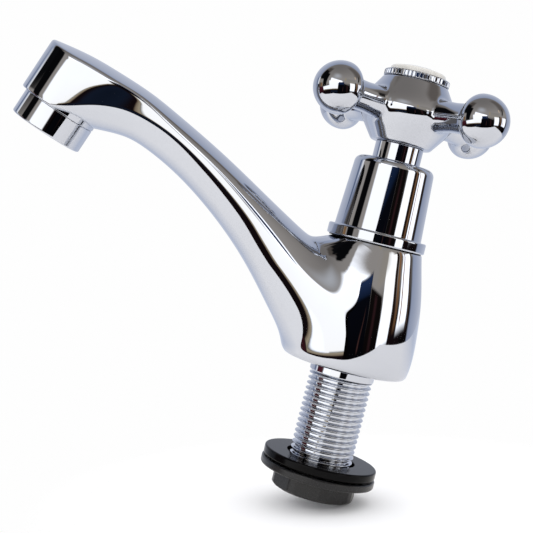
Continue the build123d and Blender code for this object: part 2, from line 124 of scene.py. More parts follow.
# The spout's stations from the foot of the pillar to the outlet: keel (x, z), crown (x, z), half width,
# depth of the rounded keel, half width at the crown, and how softly the spout blends into the pillar.
spout_stations = [
    (-20.9, 0.0, 9.4, 0.0, 20.2, 20.9, 18.0, 1.5),
    (-23.4, 5.5, 6.5, 12.5, 19.6, 21.5, 17.0, 3.0),
    (-28.8, 12.5, -2.0, 26.0, 17.6, 19.0, 14.0, 7.0),
    (-36.5, 21.4, -16.0, 35.5, 15.0, 14.0, 12.6, 10.0),
    (-46.5, 31.4, -34.0, 45.6, 12.9, 11.0, 11.8, 10.0),
    (-62.5, 43.8, -54.5, 57.4, 11.8, 9.5, 11.3, 6.0),
    (-80.0, 53.2, -74.5, 67.6, 12.2, 9.0, 11.9, 4.0),
]
# The nose's stations in the outlet's frame: distance behind the outlet axis, keel height, crown height,
# half width, depth of the keel, half width at the crown.
nose_stations = [
    (24.0, 5.0, 21.4, 13.0, 8.6, 12.8),
    (11.0, 0.5, 21.3, 14.1, 7.2, 14.0),
    (0.0, -2.0, 20.6, 14.2, 2.5, 14.15),
    (-15.0, -2.0, 18.0, 14.2, 2.5, 14.15),
]
# Radius of the pillar and boss by height, from the foot up.
pillar_heights = (-6.0, 0.0, 7.0, 16.0, 26.0, 34.0, 41.0, 47.0)
pillar_radii = (19.4, 20.5, 21.1, 20.6, 19.3, 17.5, 15.8, 14.6)

outlet_x = Vector((cos(outlet_tilt), 0, -sin(outlet_tilt)))
outlet_up = Vector((sin(outlet_tilt), 0, cos(outlet_tilt)))
outlet_frame = Matrix.Translation(outlet_centre) @ Matrix((outlet_x, (0, 1, 0), outlet_up)).transposed().to_4x4()


def colour(code):
    """Linear colour, with alpha, of an sRGB hex value."""
    parts = [int(code[i : i + 2], 16) / 255 for i in (1, 3, 5)]
    return tuple(c / 12.92 if c < 0.04045 else ((c + 0.055) / 1.055) ** 2.4 for c in parts) + (1.0,)


def add(tree, kind, inputs=None, **settings):
    """Adds a node with its settings; each input is a value or the output socket that feeds it."""
    made = tree.nodes.new(kind)
    for name, value in settings.items():
        setattr(made, name, value)
    for name, value in (inputs or {}).items():
        if isinstance(value, bpy.types.NodeSocket):
            tree.links.new(value, made.inputs[name])
        else:
            made.inputs[name].default_value = value
    return made


# Materials


def start_material(name):
    """A new material with its shader, its tree and the Object coordinates of the surface."""
    made = bpy.data.materials.new(name)
    made.use_nodes = True
    tree = made.node_tree
    place = add(tree, "ShaderNodeTexCoord").outputs["Object"]
    return made, tree, tree.nodes["Principled BSDF"], place


def vary(tree, shader, pattern, tones, rough, gloss=None, spread=(0.0, 1.0)):
    """A pattern moves the colour between two tones; it, or a gloss pattern, moves the roughness."""
    shades = {"Factor": pattern, 6: colour(tones[0]), 7: colour(tones[1])}
    tone = add(tree, "ShaderNodeMix", shades, data_type="RGBA")
    tree.links.new(tone.outputs[2], shader.inputs["Base Color"])
    limits = {"From Min": spread[0], "From Max": spread[1], "To Min": rough[0], "To Max": rough[1]}
    dull = add(tree, "ShaderNodeMapRange", {"Value": gloss or pattern, **limits})
    tree.links.new(dull.outputs["Result"], shader.inputs["Roughness"])


def polished_chrome():
    """Bright nickel-chrome plate on polished cast brass: a cool mirror with the faint swell that hand
    polishing leaves, a fine orange peel, and dulled patches where fingers have touched it."""
    made, tree, shader, place = start_material("bright_chrome_plate_on_cast_brass")
    shader.inputs["Metallic"].default_value = 1.0
    # Swell about 14 mm across, left by the polishing mop
    swell = add(tree, "ShaderNodeTexNoise", {"Vector": place, "Scale": 70.0, "Detail": 1.0})
    # Orange peel about 1.5 mm across, under the plate
    peel = add(tree, "ShaderNodeTexNoise", {"Vector": place, "Scale": 650.0, "Detail": 2.0})
    first = add(tree, "ShaderNodeBump", {"Height": swell.outputs["Fac"], "Distance": 0.00003})
    relief = {"Height": peel.outputs["Fac"], "Distance": 0.0000012, "Normal": first.outputs["Normal"]}
    second = add(tree, "ShaderNodeBump", relief)
    tree.links.new(second.outputs["Normal"], shader.inputs["Normal"])
    # Touch marks about 8 mm across dull the mirror a little
    touch = add(tree, "ShaderNodeTexNoise", {"Vector": place, "Scale": 120.0, "Detail": 4.0, "Roughness": 0.6})
    vary(tree, shader, touch.outputs["Fac"], ("#C6CAD3", "#C2C6CE"), (0.015, 0.045), spread=(0.35, 0.75))
    return made


def machined_brass():
    """Free-cutting brass straight off the lathe: warm yellow with fine turning rings about its axis."""
    made, tree, shader, place = start_material("machined_free_cutting_brass")
    shader.inputs["Metallic"].default_value = 1.0
    # Turning rings 0.6 mm apart, coarser than a lathe leaves so that they show
    turning = {"Vector": place, "Scale": 500.0, "Distortion": 0.6}
    rings = add(tree, "ShaderNodeTexWave", turning, bands_direction="Z").outputs["Fac"]
    vary(tree, shader, rings, ("#D9B36A", "#C49A4E"), (0.22, 0.36))
    bump = add(tree, "ShaderNodeBump", {"Height": rings, "Distance": 0.00001})
    tree.links.new(bump.outputs["Normal"], shader.inputs["Normal"])
    return made


def stainless_wire():
    """Drawn stainless steel wire and screws: neutral grey, slightly satin, with fine draw marks."""
    made, tree, shader, place = start_material("drawn_stainless_steel")
    shader.inputs["Metallic"].default_value = 1.0
    # Draw marks about 0.7 mm across, coarser than real ones so that they show
    marks = add(tree, "ShaderNodeTexNoise", {"Vector": place, "Scale": 1500.0, "Detail": 3.0})
    vary(tree, shader, marks.outputs["Fac"], ("#B9B8B4", "#8F8E8B"), (0.25, 0.45))
    return made


def soft_solid(name, light, dark, grain, rough, height, shine=0.5):
    """A moulded or pressed non-metal: two close tones, mottled over about 11 mm, and a grain of so many spots
    to the metre, with its range of roughness and its height in metres."""
    made, tree, shader, place = start_material(name)
    shader.inputs["IOR"].default_value = 1.5
    shader.inputs["Specular IOR Level"].default_value = shine
    grains = {"Vector": place, "Scale": grain, "Detail": 4.0, "Roughness": 0.6}
    fine = add(tree, "ShaderNodeTexNoise", grains).outputs["Fac"]
    broad = add(tree, "ShaderNodeTexNoise", {"Vector": place, "Scale": 90.0, "Detail": 2.0}).outputs["Fac"]
    blend = add(tree, "ShaderNodeMath", {0: fine, 1: broad}, operation="MULTIPLY").outputs[0]
    vary(tree, shader, blend, (light, dark), rough, gloss=fine)
    bump = add(tree, "ShaderNodeBump", {"Height": fine, "Distance": height})
    tree.links.new(bump.outputs["Normal"], shader.inputs["Normal"])
    return made


chrome = polished_chrome()
brass = machined_brass()
steel = stainless_wire()
# EPDM sheet rubber, punched: near black, smooth with a slight shine on the skin, grain of about 0.6 mm
rubber = soft_solid("black_epdm_rubber", "#060607", "#030304", 1800.0, (0.12, 0.18), 0.000004, 0.09)
# Glass-filled nylon, spark-eroded mould: dark grey-black, satin, with a grain of about 0.4 mm
nylon = soft_solid("black_moulded_nylon", "#141417", "#0A0A0C", 2400.0, (0.22, 0.34), 0.00002, 0.42)
# Vulcanised fibre washers: red-brown, dull, fibres of about 0.7 mm
fibre = soft_solid("red_vulcanised_fibre", "#7A4034", "#5E2E26", 1500.0, (0.6, 0.8), 0.00002)
# Natural acetal of the flow straightener: grey, slightly waxy, grain of about 0.8 mm
acetal = soft_solid("grey_moulded_acetal", "#A9ACAF", "#94979A", 1200.0, (0.35, 0.45), 0.000005)
# Polished off-white ABS of the button: warm white with a clear shine, and a swell about 3 mm across
abs_white = soft_solid("off_white_gloss_abs", "#D8D6D1", "#CFCCC6", 300.0, (0.12, 0.17), 0.0000003)

node_materials = {
    "body_casting": chrome,
    "threaded_tail": chrome,
    "tail_seal": rubber,
    "backnut_washer": rubber,
    "backnut": nylon,
    "headwork_washer": fibre,
    "headwork_body": brass,
    "thrust_washer": fibre,
    "spindle_bush": chrome,
    "spindle": brass,
    "spindle_orings": rubber,
    "valve_plunger": brass,
    "tap_washer": rubber,
    "washer_screw": brass,
    "bonnet_seal": rubber,
    "bonnet_shroud": chrome,
    "handle_cross": chrome,
    "handle_screw": steel,
    "index_ring": chrome,
    "index_button": abs_white,
    "aerator_housing": chrome,
    "aerator_seal": rubber,
    "aerator_screen": steel,
    "aerator_insert": acetal,
}
for node_name, finish in node_materials.items():
    mesh = frame["nodes"][node_name].data
    mesh.materials.clear()
    mesh.materials.append(finish)

body_of_node = {n: body for body, members in frame["record"]["behaviour"]["bodies"].items() for n in members}


# Mesh tools


def spline(knots, values):
    """A smooth curve through the values at the knots (natural cubic spline), as a function of the knot."""
    knots = np.asarray(knots, float)
    values = np.asarray(values, float)
    gaps = np.diff(knots)
    system = np.eye(len(knots))
    right = np.zeros(values.shape)
    for i in range(1, len(knots) - 1):
        system[i, i - 1 : i + 2] = gaps[i - 1], 2 * (gaps[i - 1] + gaps[i]), gaps[i]
        right[i] = 6 * ((values[i + 1] - values[i]) / gaps[i] - (values[i] - values[i - 1]) / gaps[i - 1])
    bend = np.linalg.solve(system, right)

    def at(where):
        where = np.asarray(where, float)
        i = np.clip(np.searchsorted(knots, where) - 1, 0, len(knots) - 2)
        gap = gaps[i]
        low = (knots[i + 1] - where) / gap
        high = 1 - low
        curve = (low**3 - low) * gap**2 / 6, (high**3 - high) * gap**2 / 6
        return low * values[i] + high * values[i + 1] + curve[0] * bend[i] + curve[1] * bend[i + 1]

    return at


def smooth_min(a, b, reach):
    """Union of two distance fields, rounded where they meet over the given reach."""
    near = np.maximum(reach - np.abs(a - b), 0) / reach
    return np.minimum(a, b) - reach * near**3 / 6


def smooth_max(a, b, reach):
    """Intersection of two distance fields, with its edge rounded over the given reach."""
    return -smooth_min(-a, -b, reach)


def arc_radius(half, rise):
    """Radius of the arc that rises so far over a chord of the given half width."""
    return (half**2 + rise**2) / (2 * rise)


def heights(node):
    """Bottom and top of a CAD node at rest."""
    low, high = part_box(node)
    return low.z / MM, high.z / MM


def outer_radius(node):
    """Outer radius of a CAD node that is turned about the tap's axis."""
    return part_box(node)[1].x / MM


def show(name, data):
    """A new object of the scene, at the origin, that holds a mesh or the camera."""
    made = bpy.data.objects.new(name, data)
    bpy.context.scene.collection.objects.link(made)
    return made


def settled(holder):
    """The plain mesh that an object's modifiers make of it; the object goes."""
    mesh = bpy.data.meshes.new_from_object(holder.evaluated_get(bpy.context.evaluated_depsgraph_get()))
    holder.modifiers.clear()
    bpy.data.objects.remove(holder)
    return mesh


def finish_mesh(name, bm, node, sharp=35.0):
    """Makes the piece from a bmesh in millimetres and puts it in place of its node. Skin normals that its
    vertices carry are used, except on flat faces that turn away from them."""
    bmesh.ops.remove_doubles(bm, verts=bm.verts, dist=0.0005)
    bmesh.ops.dissolve_degenerate(bm, edges=bm.edges, dist=0.0003)
    bmesh.ops.recalc_face_normals(bm, faces=bm.faces)
    skin = bm.verts.layers.float_vector.get("skin normal")
    ways = []
    if skin:
        bm.normal_update()
        side = 1 if sum(v.normal.dot(v[skin]) for v in bm.verts) > 0 else -1
        for face in bm.faces:
            for vertex in face.verts:
                way = vertex[skin].normalized() * side
                ways.append(tuple(way) if face.normal.dot(way) > skin_agreement else (0, 0, 0))
    bmesh.ops.scale(bm, vec=(MM, MM, MM), verts=bm.verts)
    mesh = bpy.data.meshes.new(name)
    bm.to_mesh(mesh)
    bm.free()
    mesh.shade_smooth()
    mesh.set_sharp_from_angle(angle=radians(sharp))
    if skin:
        mesh.normals_split_custom_set(ways)
    place_piece(name, mesh, node)


def place_piece(name, mesh, node):
    """Shows a finished mesh, in metres, as the piece that stands for a CAD node."""
    mesh.materials.clear()
    mesh.materials.append(node_materials[node])
    piece = show(name, mesh)
    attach(piece, body_of_node[node])
    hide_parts(node)


def rounded(corners, steps=7, guard=0.06):
    """Profile through corners (radius, height, rounding): each rounding becomes an arc between two guard points."""
    points = []
    for i, (r, z, rounding) in enumerate(corners):
        here = Vector((r, z))
        if rounding == 0 or i in (0, len(corners) - 1):
            points.append((r, z))
            continue
        before = (Vector(corners[i - 1][:2]) - here).normalized()
        after = (Vector(corners[i + 1][:2]) - here).normalized()
        half = before.angle(after) / 2
        reach = rounding / tan(half)
        centre = here + (before + after).normalized() * (rounding / sin(half))
        start, end = here + before * reach, here + after * reach
        points.append(tuple(start + before * guard))
        first, last = start - centre, end - centre
        sweep = first.angle_signed(last)
        for k in range(steps + 1):
            turned = Matrix.Rotation(-sweep * k / steps, 2) @ first
            points.append(tuple(centre + turned))
        points.append(tuple(end + after * guard))
    return points


def revolve(bm, profile, segments=192, place=None, closed=False, swell=None):
    """Turns a profile of (radius, height) about the z axis into the bmesh; swell may change a radius by angle."""
    rings = []
    for r, z in profile:
        ring = []
        for k in range(segments):
            angle = 2 * pi * k / segments
            radius = swell(r, z, angle) if swell else r
            point = Vector((radius * cos(angle), radius * sin(angle), z))
            ring.append(bm.verts.new(place @ point if place else point))
        rings.append(ring)
    pairs = list(zip(rings, rings[1:] + rings[:1])) if closed else list(zip(rings, rings[1:]))
    for low, high in pairs:
        for k in range(segments):
            n = (k + 1) % segments
            bm.faces.new((low[k], low[n], high[n], high[k]))


def turned(name, node, profile, segments=192, place=None):
    """A piece that is a closed profile turned about its axis."""
    bm = bmesh.new()
    revolve(bm, profile, segments=segments, place=place, closed=True)
    finish_mesh(name, bm, node)


def cut_flat(bm, point, outward, keep):
    """Cuts the faces that keep accepts with a plane, drops what lies outside and closes the hole."""
    chosen = [f for f in bm.faces if keep(f.calc_center_median())]
    edges = dict.fromkeys(e for f in chosen for e in f.edges)
    corners = dict.fromkeys(v for f in chosen for v in f.verts)
    parts = [*chosen, *edges, *corners]
    bmesh.ops.bisect_plane(bm, geom=parts, plane_co=point, plane_no=outward, clear_outer=True, dist=0.0001)
    bmesh.ops.remove_doubles(bm, verts=bm.verts, dist=0.0005)
    rim = [e for e in bm.edges if len(e.link_faces) == 1]
    rim = [e for e in rim if all(abs((v.co - Vector(point)).dot(Vector(outward))) < 0.01 for v in e.verts)]
    bmesh.ops.holes_fill(bm, edges=rim, sides=0)


# The cast body: a fan of sections from the foot, through the pillar and along the spout, then round the nose


def to_outlet(x, z):
    """A point (x, z) of the tap, as distance behind the outlet axis and height above the outlet face."""
    dx, dz = x - outlet_centre[0], z - outlet_centre[2]
    return dx * outlet_x.x + dz * outlet_x.z, dx * outlet_up.x + dz * outlet_up.z


def from_outlet(behind, above):
    """The point (x, z) of the tap that is so far behind and above the centre of the outlet."""
    return (
        outlet_centre[0] + behind * outlet_x.x + above * outlet_up.x,
        outlet_centre[2] + behind * outlet_x.z + above * outlet_up.z,
    )


pillar_radius = spline(pillar_heights, pillar_radii)


def pillar_field(x, y, z):
    """Distance field of the round pillar with its boss, which overruns its flat top."""
    wall = np.hypot(x, y) - pillar_radius(np.clip(z, pillar_heights[0], pillar_heights[-1]))
    return smooth_max(wall, z - boss_top - boss_overrun, 1.0)


def wall_field(across, up, section):
    """Distance field of a section's rounded keel and of its sides, which lean in towards the crown and may
    tuck in low down."""
    height, half, keel, crown_half, power, tuck, tuck_height = section
    aside = np.abs(across)
    under = np.maximum(keel + tuck_height - up, 0)
    aside = aside + tuck * (np.hypot(under, tuck_bend) - tuck_bend) * np.clip(aside / half, 0, 1) ** 2
    lean = np.clip((up - keel) / (height - crown_height - keel), 0, 2) ** 2 * (crown_half - half)
    low = np.maximum(keel - up, 0)
    round_keel = (((aside / half) ** power + (low / keel) ** power) ** (1 / power) - 1) * half
    return np.where(up < keel, round_keel, aside - half - lean)


def crown_field(across, up, height, crown_half):
    """Distance field of the shallow arch along the top of the spout."""
    arch = arc_radius(crown_half, crown_height)
    return np.hypot(across, up - height + arch) - arch


def section_rays(section, place):
    """Rays to half of a section's outline, from keel to crown: their inner ends and their directions."""
    height, half, keel, crown_half = section[:4]
    shoulder = height - crown_height
    turn = np.linspace(-pi / 2, 0, 25)[:-1]
    rows = [(half * cos(a), keel + keel * sin(a)) for a in turn]
    along = np.concatenate([np.linspace(0, 0.86, 14), 1 - np.array([0.1, 0.065, 0.04, 0.02, 0.0])])
    rows += [(half + (crown_half - half) * s**2, keel + (shoulder - keel) * s) for s in along]
    crown = arc_radius(crown_half, crown_height)
    across = 1 - np.concatenate([[0.02, 0.045, 0.075, 0.115], np.linspace(0.17, 1, 14)])
    rows += [(crown_half * s, height - crown + (crown**2 - (crown_half * s) ** 2) ** 0.5) for s in across]
    outline = np.array(rows)
    inner = np.stack([np.zeros(len(outline)), np.clip(outline[:, 1], inner_low(place), inner_high(place))], 1)
    towards = outline - inner
    return inner, towards / np.linalg.norm(towards, axis=1)[:, None]


def surface_points(field, start, towards, reach):
    """For each ray, the first point where the field turns from inside to outside: found by even steps along
    the ray, then by halving the step it lies in."""
    steps = np.linspace(0, reach, 90)
    inside = field(start[:, None, :] + towards[:, None, :] * steps[None, :, None]) < 0
    first = np.argmin(inside, axis=1)
    low, high = steps[np.maximum(first - 1, 0)], steps[first]
    for _ in range(26):
        middle = (low + high) / 2
        within = field(start + towards * middle[:, None]) < 0
        low, high = np.where(within, middle, low), np.where(within, high, middle)
    return start + towards * ((low + high) / 2)[:, None]


nose_rows = [(*from_outlet(s[0], s[1]), *from_outlet(s[0], s[2]), *s[3:], 2.0) for s in nose_stations]
body_rows = np.array(spout_stations + nose_rows)
middles = (body_rows[:, :2] + body_rows[:, 2:4]) / 2
station_places = np.concatenate([[0], np.cumsum(np.hypot(*np.diff(middles, axis=0).T))])
station_at = spline(station_places, body_rows)
# Past the first of the nose's stations the pillar plays no part; the fan ends over the middle of the outlet
pillar_end = station_places[len(spout_stations)]
fan_end = station_places[len(spout_stations) + 2]
nose_crown_at = spline([s[0] for s in nose_stations[::-1]], [s[2] for s in nose_stations[::-1]])
# At each station: the power of the curve under the spout (2 is an ellipse, less draws it in), how much the
# lower wall tucks in, and how far above the rounded keel the tuck reaches
keel_power = spline(station_places, (2.0, 2.0, 2.0, 1.95, 1.8, 1.65, 1.6, 1.7, 1.85, 2.0, 2.0))
wall_tuck = spline(station_places, (0, 0, 0, 0, 0.05, 0.14, 0.22, 0.27, 0.26, 0, 0))
wall_tuck_height = spline(station_places, (2.0, 2.0, 2.0, 2.0, 2.0, 3.0, 6.0, 9.0, 9.0, 9.0, 9.0))
# At each station: the lowest and highest point, above the keel, of the inner line that the rays start from
inner_low = spline(station_places, (20, 20, 21, 14, 9.5, 8, 7.5, 7, 6.5, 6.0, 6.0))
inner_high = spline(station_places, (20, 20, 22, 15, 10, 8.2, 8, 8.5, 10, 11.5, 11.5))


def body_section(place):
    """Points of the right half of the body's outline at one place along the fan, from keel to crown."""
    keel_x, keel_z, crown_x, crown_z, half, keel, crown_half, blend = station_at(place)
    height = hypot(crown_x - keel_x, crown_z - keel_z)
    up = ((crown_x - keel_x) / height, (crown_z - keel_z) / height)
    power, tuck, tuck_height = (float(curve(place)) for curve in (keel_power, wall_tuck, wall_tuck_height))
    section = (height, half, keel, crown_half, power, max(tuck, 0.0), tuck_height)

    def field(points):
        across, above = points[..., 0], points[..., 1]
        x, z = keel_x + above * up[0], keel_z + above * up[1]
        crown = crown_field(across, above, height, crown_half)
        whole = smooth_max(wall_field(across, above, section), crown, crease_rounding)
        if place < pillar_end:
            whole = smooth_min(whole, pillar_field(x, across, z), blend)
            whole = smooth_max(whole, -z, foot_rounding)
        return whole

    found = surface_points(field, *section_rays(section, place), reach=62.0)
    return [(keel_x + b * up[0], a, keel_z + b * up[1]) for a, b in found]


def nose_slice(turn, section, keel_above):
    """Points of the nose's front in the half plane that is turned about the outlet axis."""
    ahead, aside = -sin(turn), cos(turn)

    def field(points):
        reach, above = points[..., 0], points[..., 1] - keel_above
        behind, across = ahead * reach, aside * reach
        crown = crown_field(across, above, nose_crown_at(behind) - keel_above, section[3])
        return smooth_max(wall_field(reach, above, section), crown, crease_rounding)

    inner, towards = section_rays(section, fan_end)
    points = []
    for reach, above in surface_points(field, inner + (0, keel_above), towards, reach=40.0):
        x, z = from_outlet(ahead * reach, above)
        points.append((x, aside * reach, z))
    return points


def evened(rows, first):
    """Rows of points, each drawn a little towards its neighbours from the given row on; end rows stay."""
    rows = np.array(rows)
    share = np.zeros((len(rows), 1, 1))
    share[first:-1] = 0.25
    for _ in range(8):
        rows[1:-1] += share[1:-1] * (rows[:-2] + rows[2:] - 2 * rows[1:-1])
    return rows


def line_ways(points, axis):
    """Directions of a grid's lines at its points, allowing for uneven spacing."""
    points = np.moveaxis(points, axis, 0)
    steps = np.diff(points, axis=0)
    reach = np.linalg.norm(steps, axis=2, keepdims=True) + 1e-9
    ways = steps / reach
    inner = (ways[:-1] * reach[1:] + ways[1:] * reach[:-1]) / (reach[:-1] + reach[1:])
    return np.moveaxis(np.concatenate([ways[:1], inner, ways[-1:]]), 0, axis)


def grid_normals(rows):
    """Unit normals of a grid of points, evened a little from row to row."""
    ways = np.cross(line_ways(rows, 1), line_ways(rows, 0))
    ways[:, 0] = ways[:, 1]
    ways[:, -1] = ways[:, -2]
    for _ in range(5):
        ways /= np.maximum(np.linalg.norm(ways, axis=2, keepdims=True), 1e-9)
        ways[1:-1] += 0.25 * (ways[:-2] + ways[2:] - 2 * ways[1:-1])
    return ways / np.linalg.norm(ways, axis=2, keepdims=True)


def body_casting():
    """The whole casting as one closed surface: up the right side of the fan, round the nose and back down
    the left."""
    # Rows crowd together at the rounded foot and are evenly spaced from there on
    foot_rows = 22
    places = [0.0006 * k**2.1 + 0.004 for k in range(foot_rows)]
    while places[-1] < fan_end - row_spacing - 0.03:
        places.append(places[-1] + row_spacing)
    places.append(fan_end)
    right = evened([body_section(place) for place in places], foot_rows + 1)
    keel_x, keel_z, crown_x, crown_z, half, keel, crown_half, _ = station_at(fan_end)
    section = (hypot(crown_x - keel_x, crown_z - keel_z), half, keel, crown_half, 2.0, 0.0, 9.0)
    keel_above = to_outlet(keel_x, keel_z)[1]
    slices = [nose_slice(pi * k / nose_slices, section, keel_above) for k in range(nose_slices + 1)]
    front = evened(slices, 1)
    left = right[::-1] * (1, -1, 1)
    rows = np.concatenate([right, front[1:-1], left])
    ways = grid_normals(rows)
    count = len(right)
    for end in (0, -1):
        # Seams lie in the tap's middle plane; the nose's slices all meet at one point
        ways[:count, end, 1] = ways[-count:, end, 1] = 0
        ways[count:-count, end] = ways[count:-count, end].mean(axis=0)
    bm = bmesh.new()
    skin = bm.verts.layers.float_vector.new("skin normal")
    loops = []
    for points, normals in zip(rows, ways):
        loop = [bm.verts.new(p) for p in points]
        for v, normal in zip(loop, normals):
            v[skin] = normal
        loops.append(loop)
    for low, high in zip(loops, loops[1:]):
        for k in range(len(low) - 1):
            bm.faces.new((low[k], low[k + 1], high[k + 1], high[k]))
    bm.faces.new(loops[0] + loops[-1][-2:0:-1])
    bmesh.ops.remove_doubles(bm, verts=bm.verts, dist=0.002)
    bmesh.ops.dissolve_degenerate(bm, edges=bm.edges, dist=0.001)
    # Close to the mouth the faces keep their own normals
    for v in bm.verts:
        behind, above = to_outlet(v.co.x, v.co.z)
        if behind < 16 and above < 1.4:
            v[skin] = (0, 0, 0)
    # Only faces near the boss's top and near the mouth are cut
    cut_flat(bm, (0, 0, boss_top), (0, 0, 1), lambda c: hypot(c.x, c.y) < 17 and c.z > 30)
    cut_flat(bm, outlet_centre, -outlet_up, lambda c: to_outlet(c.x, c.z)[0] < 20 and c.z > 40)
    # The turned boss round the mouth, which shows where the spout's underside climbs away from it
    ring = [
        (nose_boss_bore, 0.0, 0),
        (nose_boss_radius, 0.0, 0.15),
        (nose_boss_radius, nose_boss_height, 0),
        (nose_boss_bore, nose_boss_height, 0),
    ]
    revolve(bm, rounded(ring), closed=True, place=outlet_frame)
    finish_mesh("body_casting_skin", bm, "body_casting", sharp=50.0)


# Turned pieces


def bonnet_shroud():
    """Tapered cover with its collar, turned and polished."""
    bottom, top = heights("bonnet_shroud")
    collar_top, under_top = bottom + 3.6, top - 2.2
    bore = neck_radius + 0.05
    outside = [
        (bore, top, 0),
        (shroud_shoulder_radius, top, 2.4),
        (shroud_foot_radius, collar_top, 0.25),
        (collar_radius, collar_top, 0.55),
        (collar_radius, bottom, 0.55),
        (shroud_foot_radius, bottom, 0),
    ]
    inside = [(11.5, collar_top + 1), (11.5, under_top), (bore, under_top)]
    turned("bonnet_shroud_turned", "bonnet_shroud", rounded(outside) + inside)


def neck_bush():
    """The plain chrome neck between the shroud and the handle."""
    bottom = heights("spindle_bush")[0]
    top = heights("handle_cross")[0] - 0.05
    corners = [(5.05, bottom, 0), (neck_radius, bottom, 0), (neck_radius, top, 0.25), (5.05, top, 0)]
    turned("neck_bush_turned", "spindle_bush", rounded(corners), segments=144)


def dark_seal():
    """The black ring that shows as a line under the collar."""
    bottom, top = heights("bonnet_seal")
    edge = outer_radius("bonnet_seal")
    turned("bonnet_seal_ring", "bonnet_seal", [(edge - 1, bottom), (edge, bottom), (edge, top), (edge - 1, top)])


def outlet_housing():
    """Chrome shell of the aerator, with its thin rolled lip."""
    bottom = -housing_length
    step = housing_lip_radius + 0.35
    corners = [
        (outlet_thread_radius, outlet_thread_length, 0),
        (outlet_thread_radius, -joint_line, 0),
        (housing_radius, -joint_line, 0.3),
        (housing_radius, bottom, 0.55),
        (housing_radius - 0.9, bottom, 0.3),
        (housing_lip_radius, bottom + 0.7, 0),
        (step, bottom + 0.8, 0),
        (step, outlet_thread_length, 0),
    ]
    turned("aerator_housing_turned", "aerator_housing", rounded(corners), place=outlet_frame)


def clamping_washer():
    """Punched rubber washer with slightly rolled edges."""
    bottom, top = heights("backnut_washer")
    outer, bore = outer_radius("backnut_washer"), washer_bore_radius
    corners = [(bore, top, 0), (outer, top, 0.55), (outer, bottom, 0.55), (bore, bottom, 0)]
    turned("backnut_washer_rubber", "backnut_washer", rounded(corners))


def index_button():
    """Plain button: a short upright edge, a rounded shoulder and a shallow dome."""
    bottom, top = heights("index_button")
    shoulder = top - button_dome
    rim = button_radius - button_shoulder
    sphere = arc_radius(rim, button_dome - 0.3)
    dome = [(rim * s, top - sphere + (sphere**2 - (rim * s) ** 2) ** 0.5) for s in np.linspace(0, 0.98, 20)]
    turn = np.linspace(pi / 2 - 0.25, 0, 9)
    edge = [(rim + button_shoulder * cos(a), shoulder - 0.45 + (button_shoulder - 0.1) * sin(a)) for a in turn]
    bm = bmesh.new()
    revolve(bm, dome + edge + [(button_radius, bottom), (0, bottom)], segments=144)
    finish_mesh("index_button_dome", bm, "index_button")


def moulded_backnut():
    """Flanged backnut: an octagonal grip with softened corners under a round flange."""
    bottom, top = heights("backnut")
    flange = outer_radius("backnut")
    side = 2 * pi / nut_sides
    grip, bore = nut_flat_distance, thread_radius + 0.05

    def grip_radius(r, z, angle):
        if r > grip + 0.02 or r < bore + 0.25:
            return r
        off = (angle - nut_turn) % side - side / 2
        corner = r / cos(off)
        limit = r / cos(side / 2) - 0.45
        bevel = grip / cos(side / 2) - 1.2 + max(z - bottom, 0)
        return min(corner, limit, bevel)

    corners = [
        (bore, top, 0),
        (nut_rim_radius, top, 0.15),
        (nut_rim_radius, nut_flange_top, 0),
        (flange, nut_flange_top, 0.55),
        (flange, nut_flange_bottom, 0.55),
        (grip + 0.5, nut_flange_bottom, 0),
    ]
    wall = [(grip, nut_flange_bottom - 0.001), (grip, nut_flange_bottom - 0.1)]
    wall += [(grip, z) for z in np.linspace(nut_flange_bottom - 1.5, bottom + 1.6, 3)]
    wall += [(grip, z) for z in np.linspace(bottom + 1.4, bottom + 0.25, 8)]
    wall += [(grip - 0.08, bottom + 0.08), (grip - 0.25, bottom), (bore, bottom)]
    bm = bmesh.new()
    revolve(bm, rounded(corners) + wall, closed=True, segments=256, swell=grip_radius)
    finish_mesh("backnut_moulded", bm, "backnut", sharp=12.0)


# The handle: one smooth skin over hub, arms and balls


hub_heights = (72.0, 74.2, 77.5, 80.8, 85.2, 91.4, 95.2, 98.0)
hub_radius = spline(hub_heights, (8.2, 9.8, 12.2, 14.5, 16.0, 13.0, 10.6, 9.0))
arm_places = (6.0, 13.0, 20.0, 27.5, 31.0)
arm_radius = spline(arm_places, (5.5, 5.35, 4.7, 5.1, 5.4))


def handle_field(points):
    """Distance field of the cross handle; points are (x, y, z) rows in millimetres."""
    x, y, z = points[:, 0], points[:, 1], points[:, 2]
    bottom, top = heights("handle_cross")
    # The hub's wall leans, so its field is nearer to a distance when it is a little less than the gap across
    side = (np.hypot(x, y) - hub_radius(np.clip(z, hub_heights[0], hub_heights[-1]))) * 0.88
    whole = smooth_max(side, np.abs(z - (bottom + top) / 2) - (top - bottom) / 2, hub_rounding)
    for k in range(arm_count):
        turn = radians(arm_turn) + 2 * pi * k / arm_count
        along = x * cos(turn) + y * sin(turn)
        off = np.hypot(-x * sin(turn) + y * cos(turn), z - handle_height)
        neck = off - arm_radius(np.clip(along, arm_places[0], arm_places[-1]))
        neck = np.maximum(neck, np.maximum(arm_places[0] - along, along - arm_reach))
        length = np.where(along > arm_reach, ball_dome_length, ball_inner_length)
        stretch = np.hypot((along - arm_reach) / length, off / ball_radius)
        steep = np.hypot((along - arm_reach) / length**2, off / ball_radius**2) + 1e-9
        ball = stretch * (stretch - 1) / steep
        whole = smooth_min(whole, smooth_min(neck, ball, ball_blend), arm_blend)
    return whole


def slope(field, points, step=0.02):
    """Gradient of a distance field."""
    sides = [(field(points + d) - field(points - d)) / (2 * step) for d in np.eye(3) * step]
    return np.stack(sides, 1)


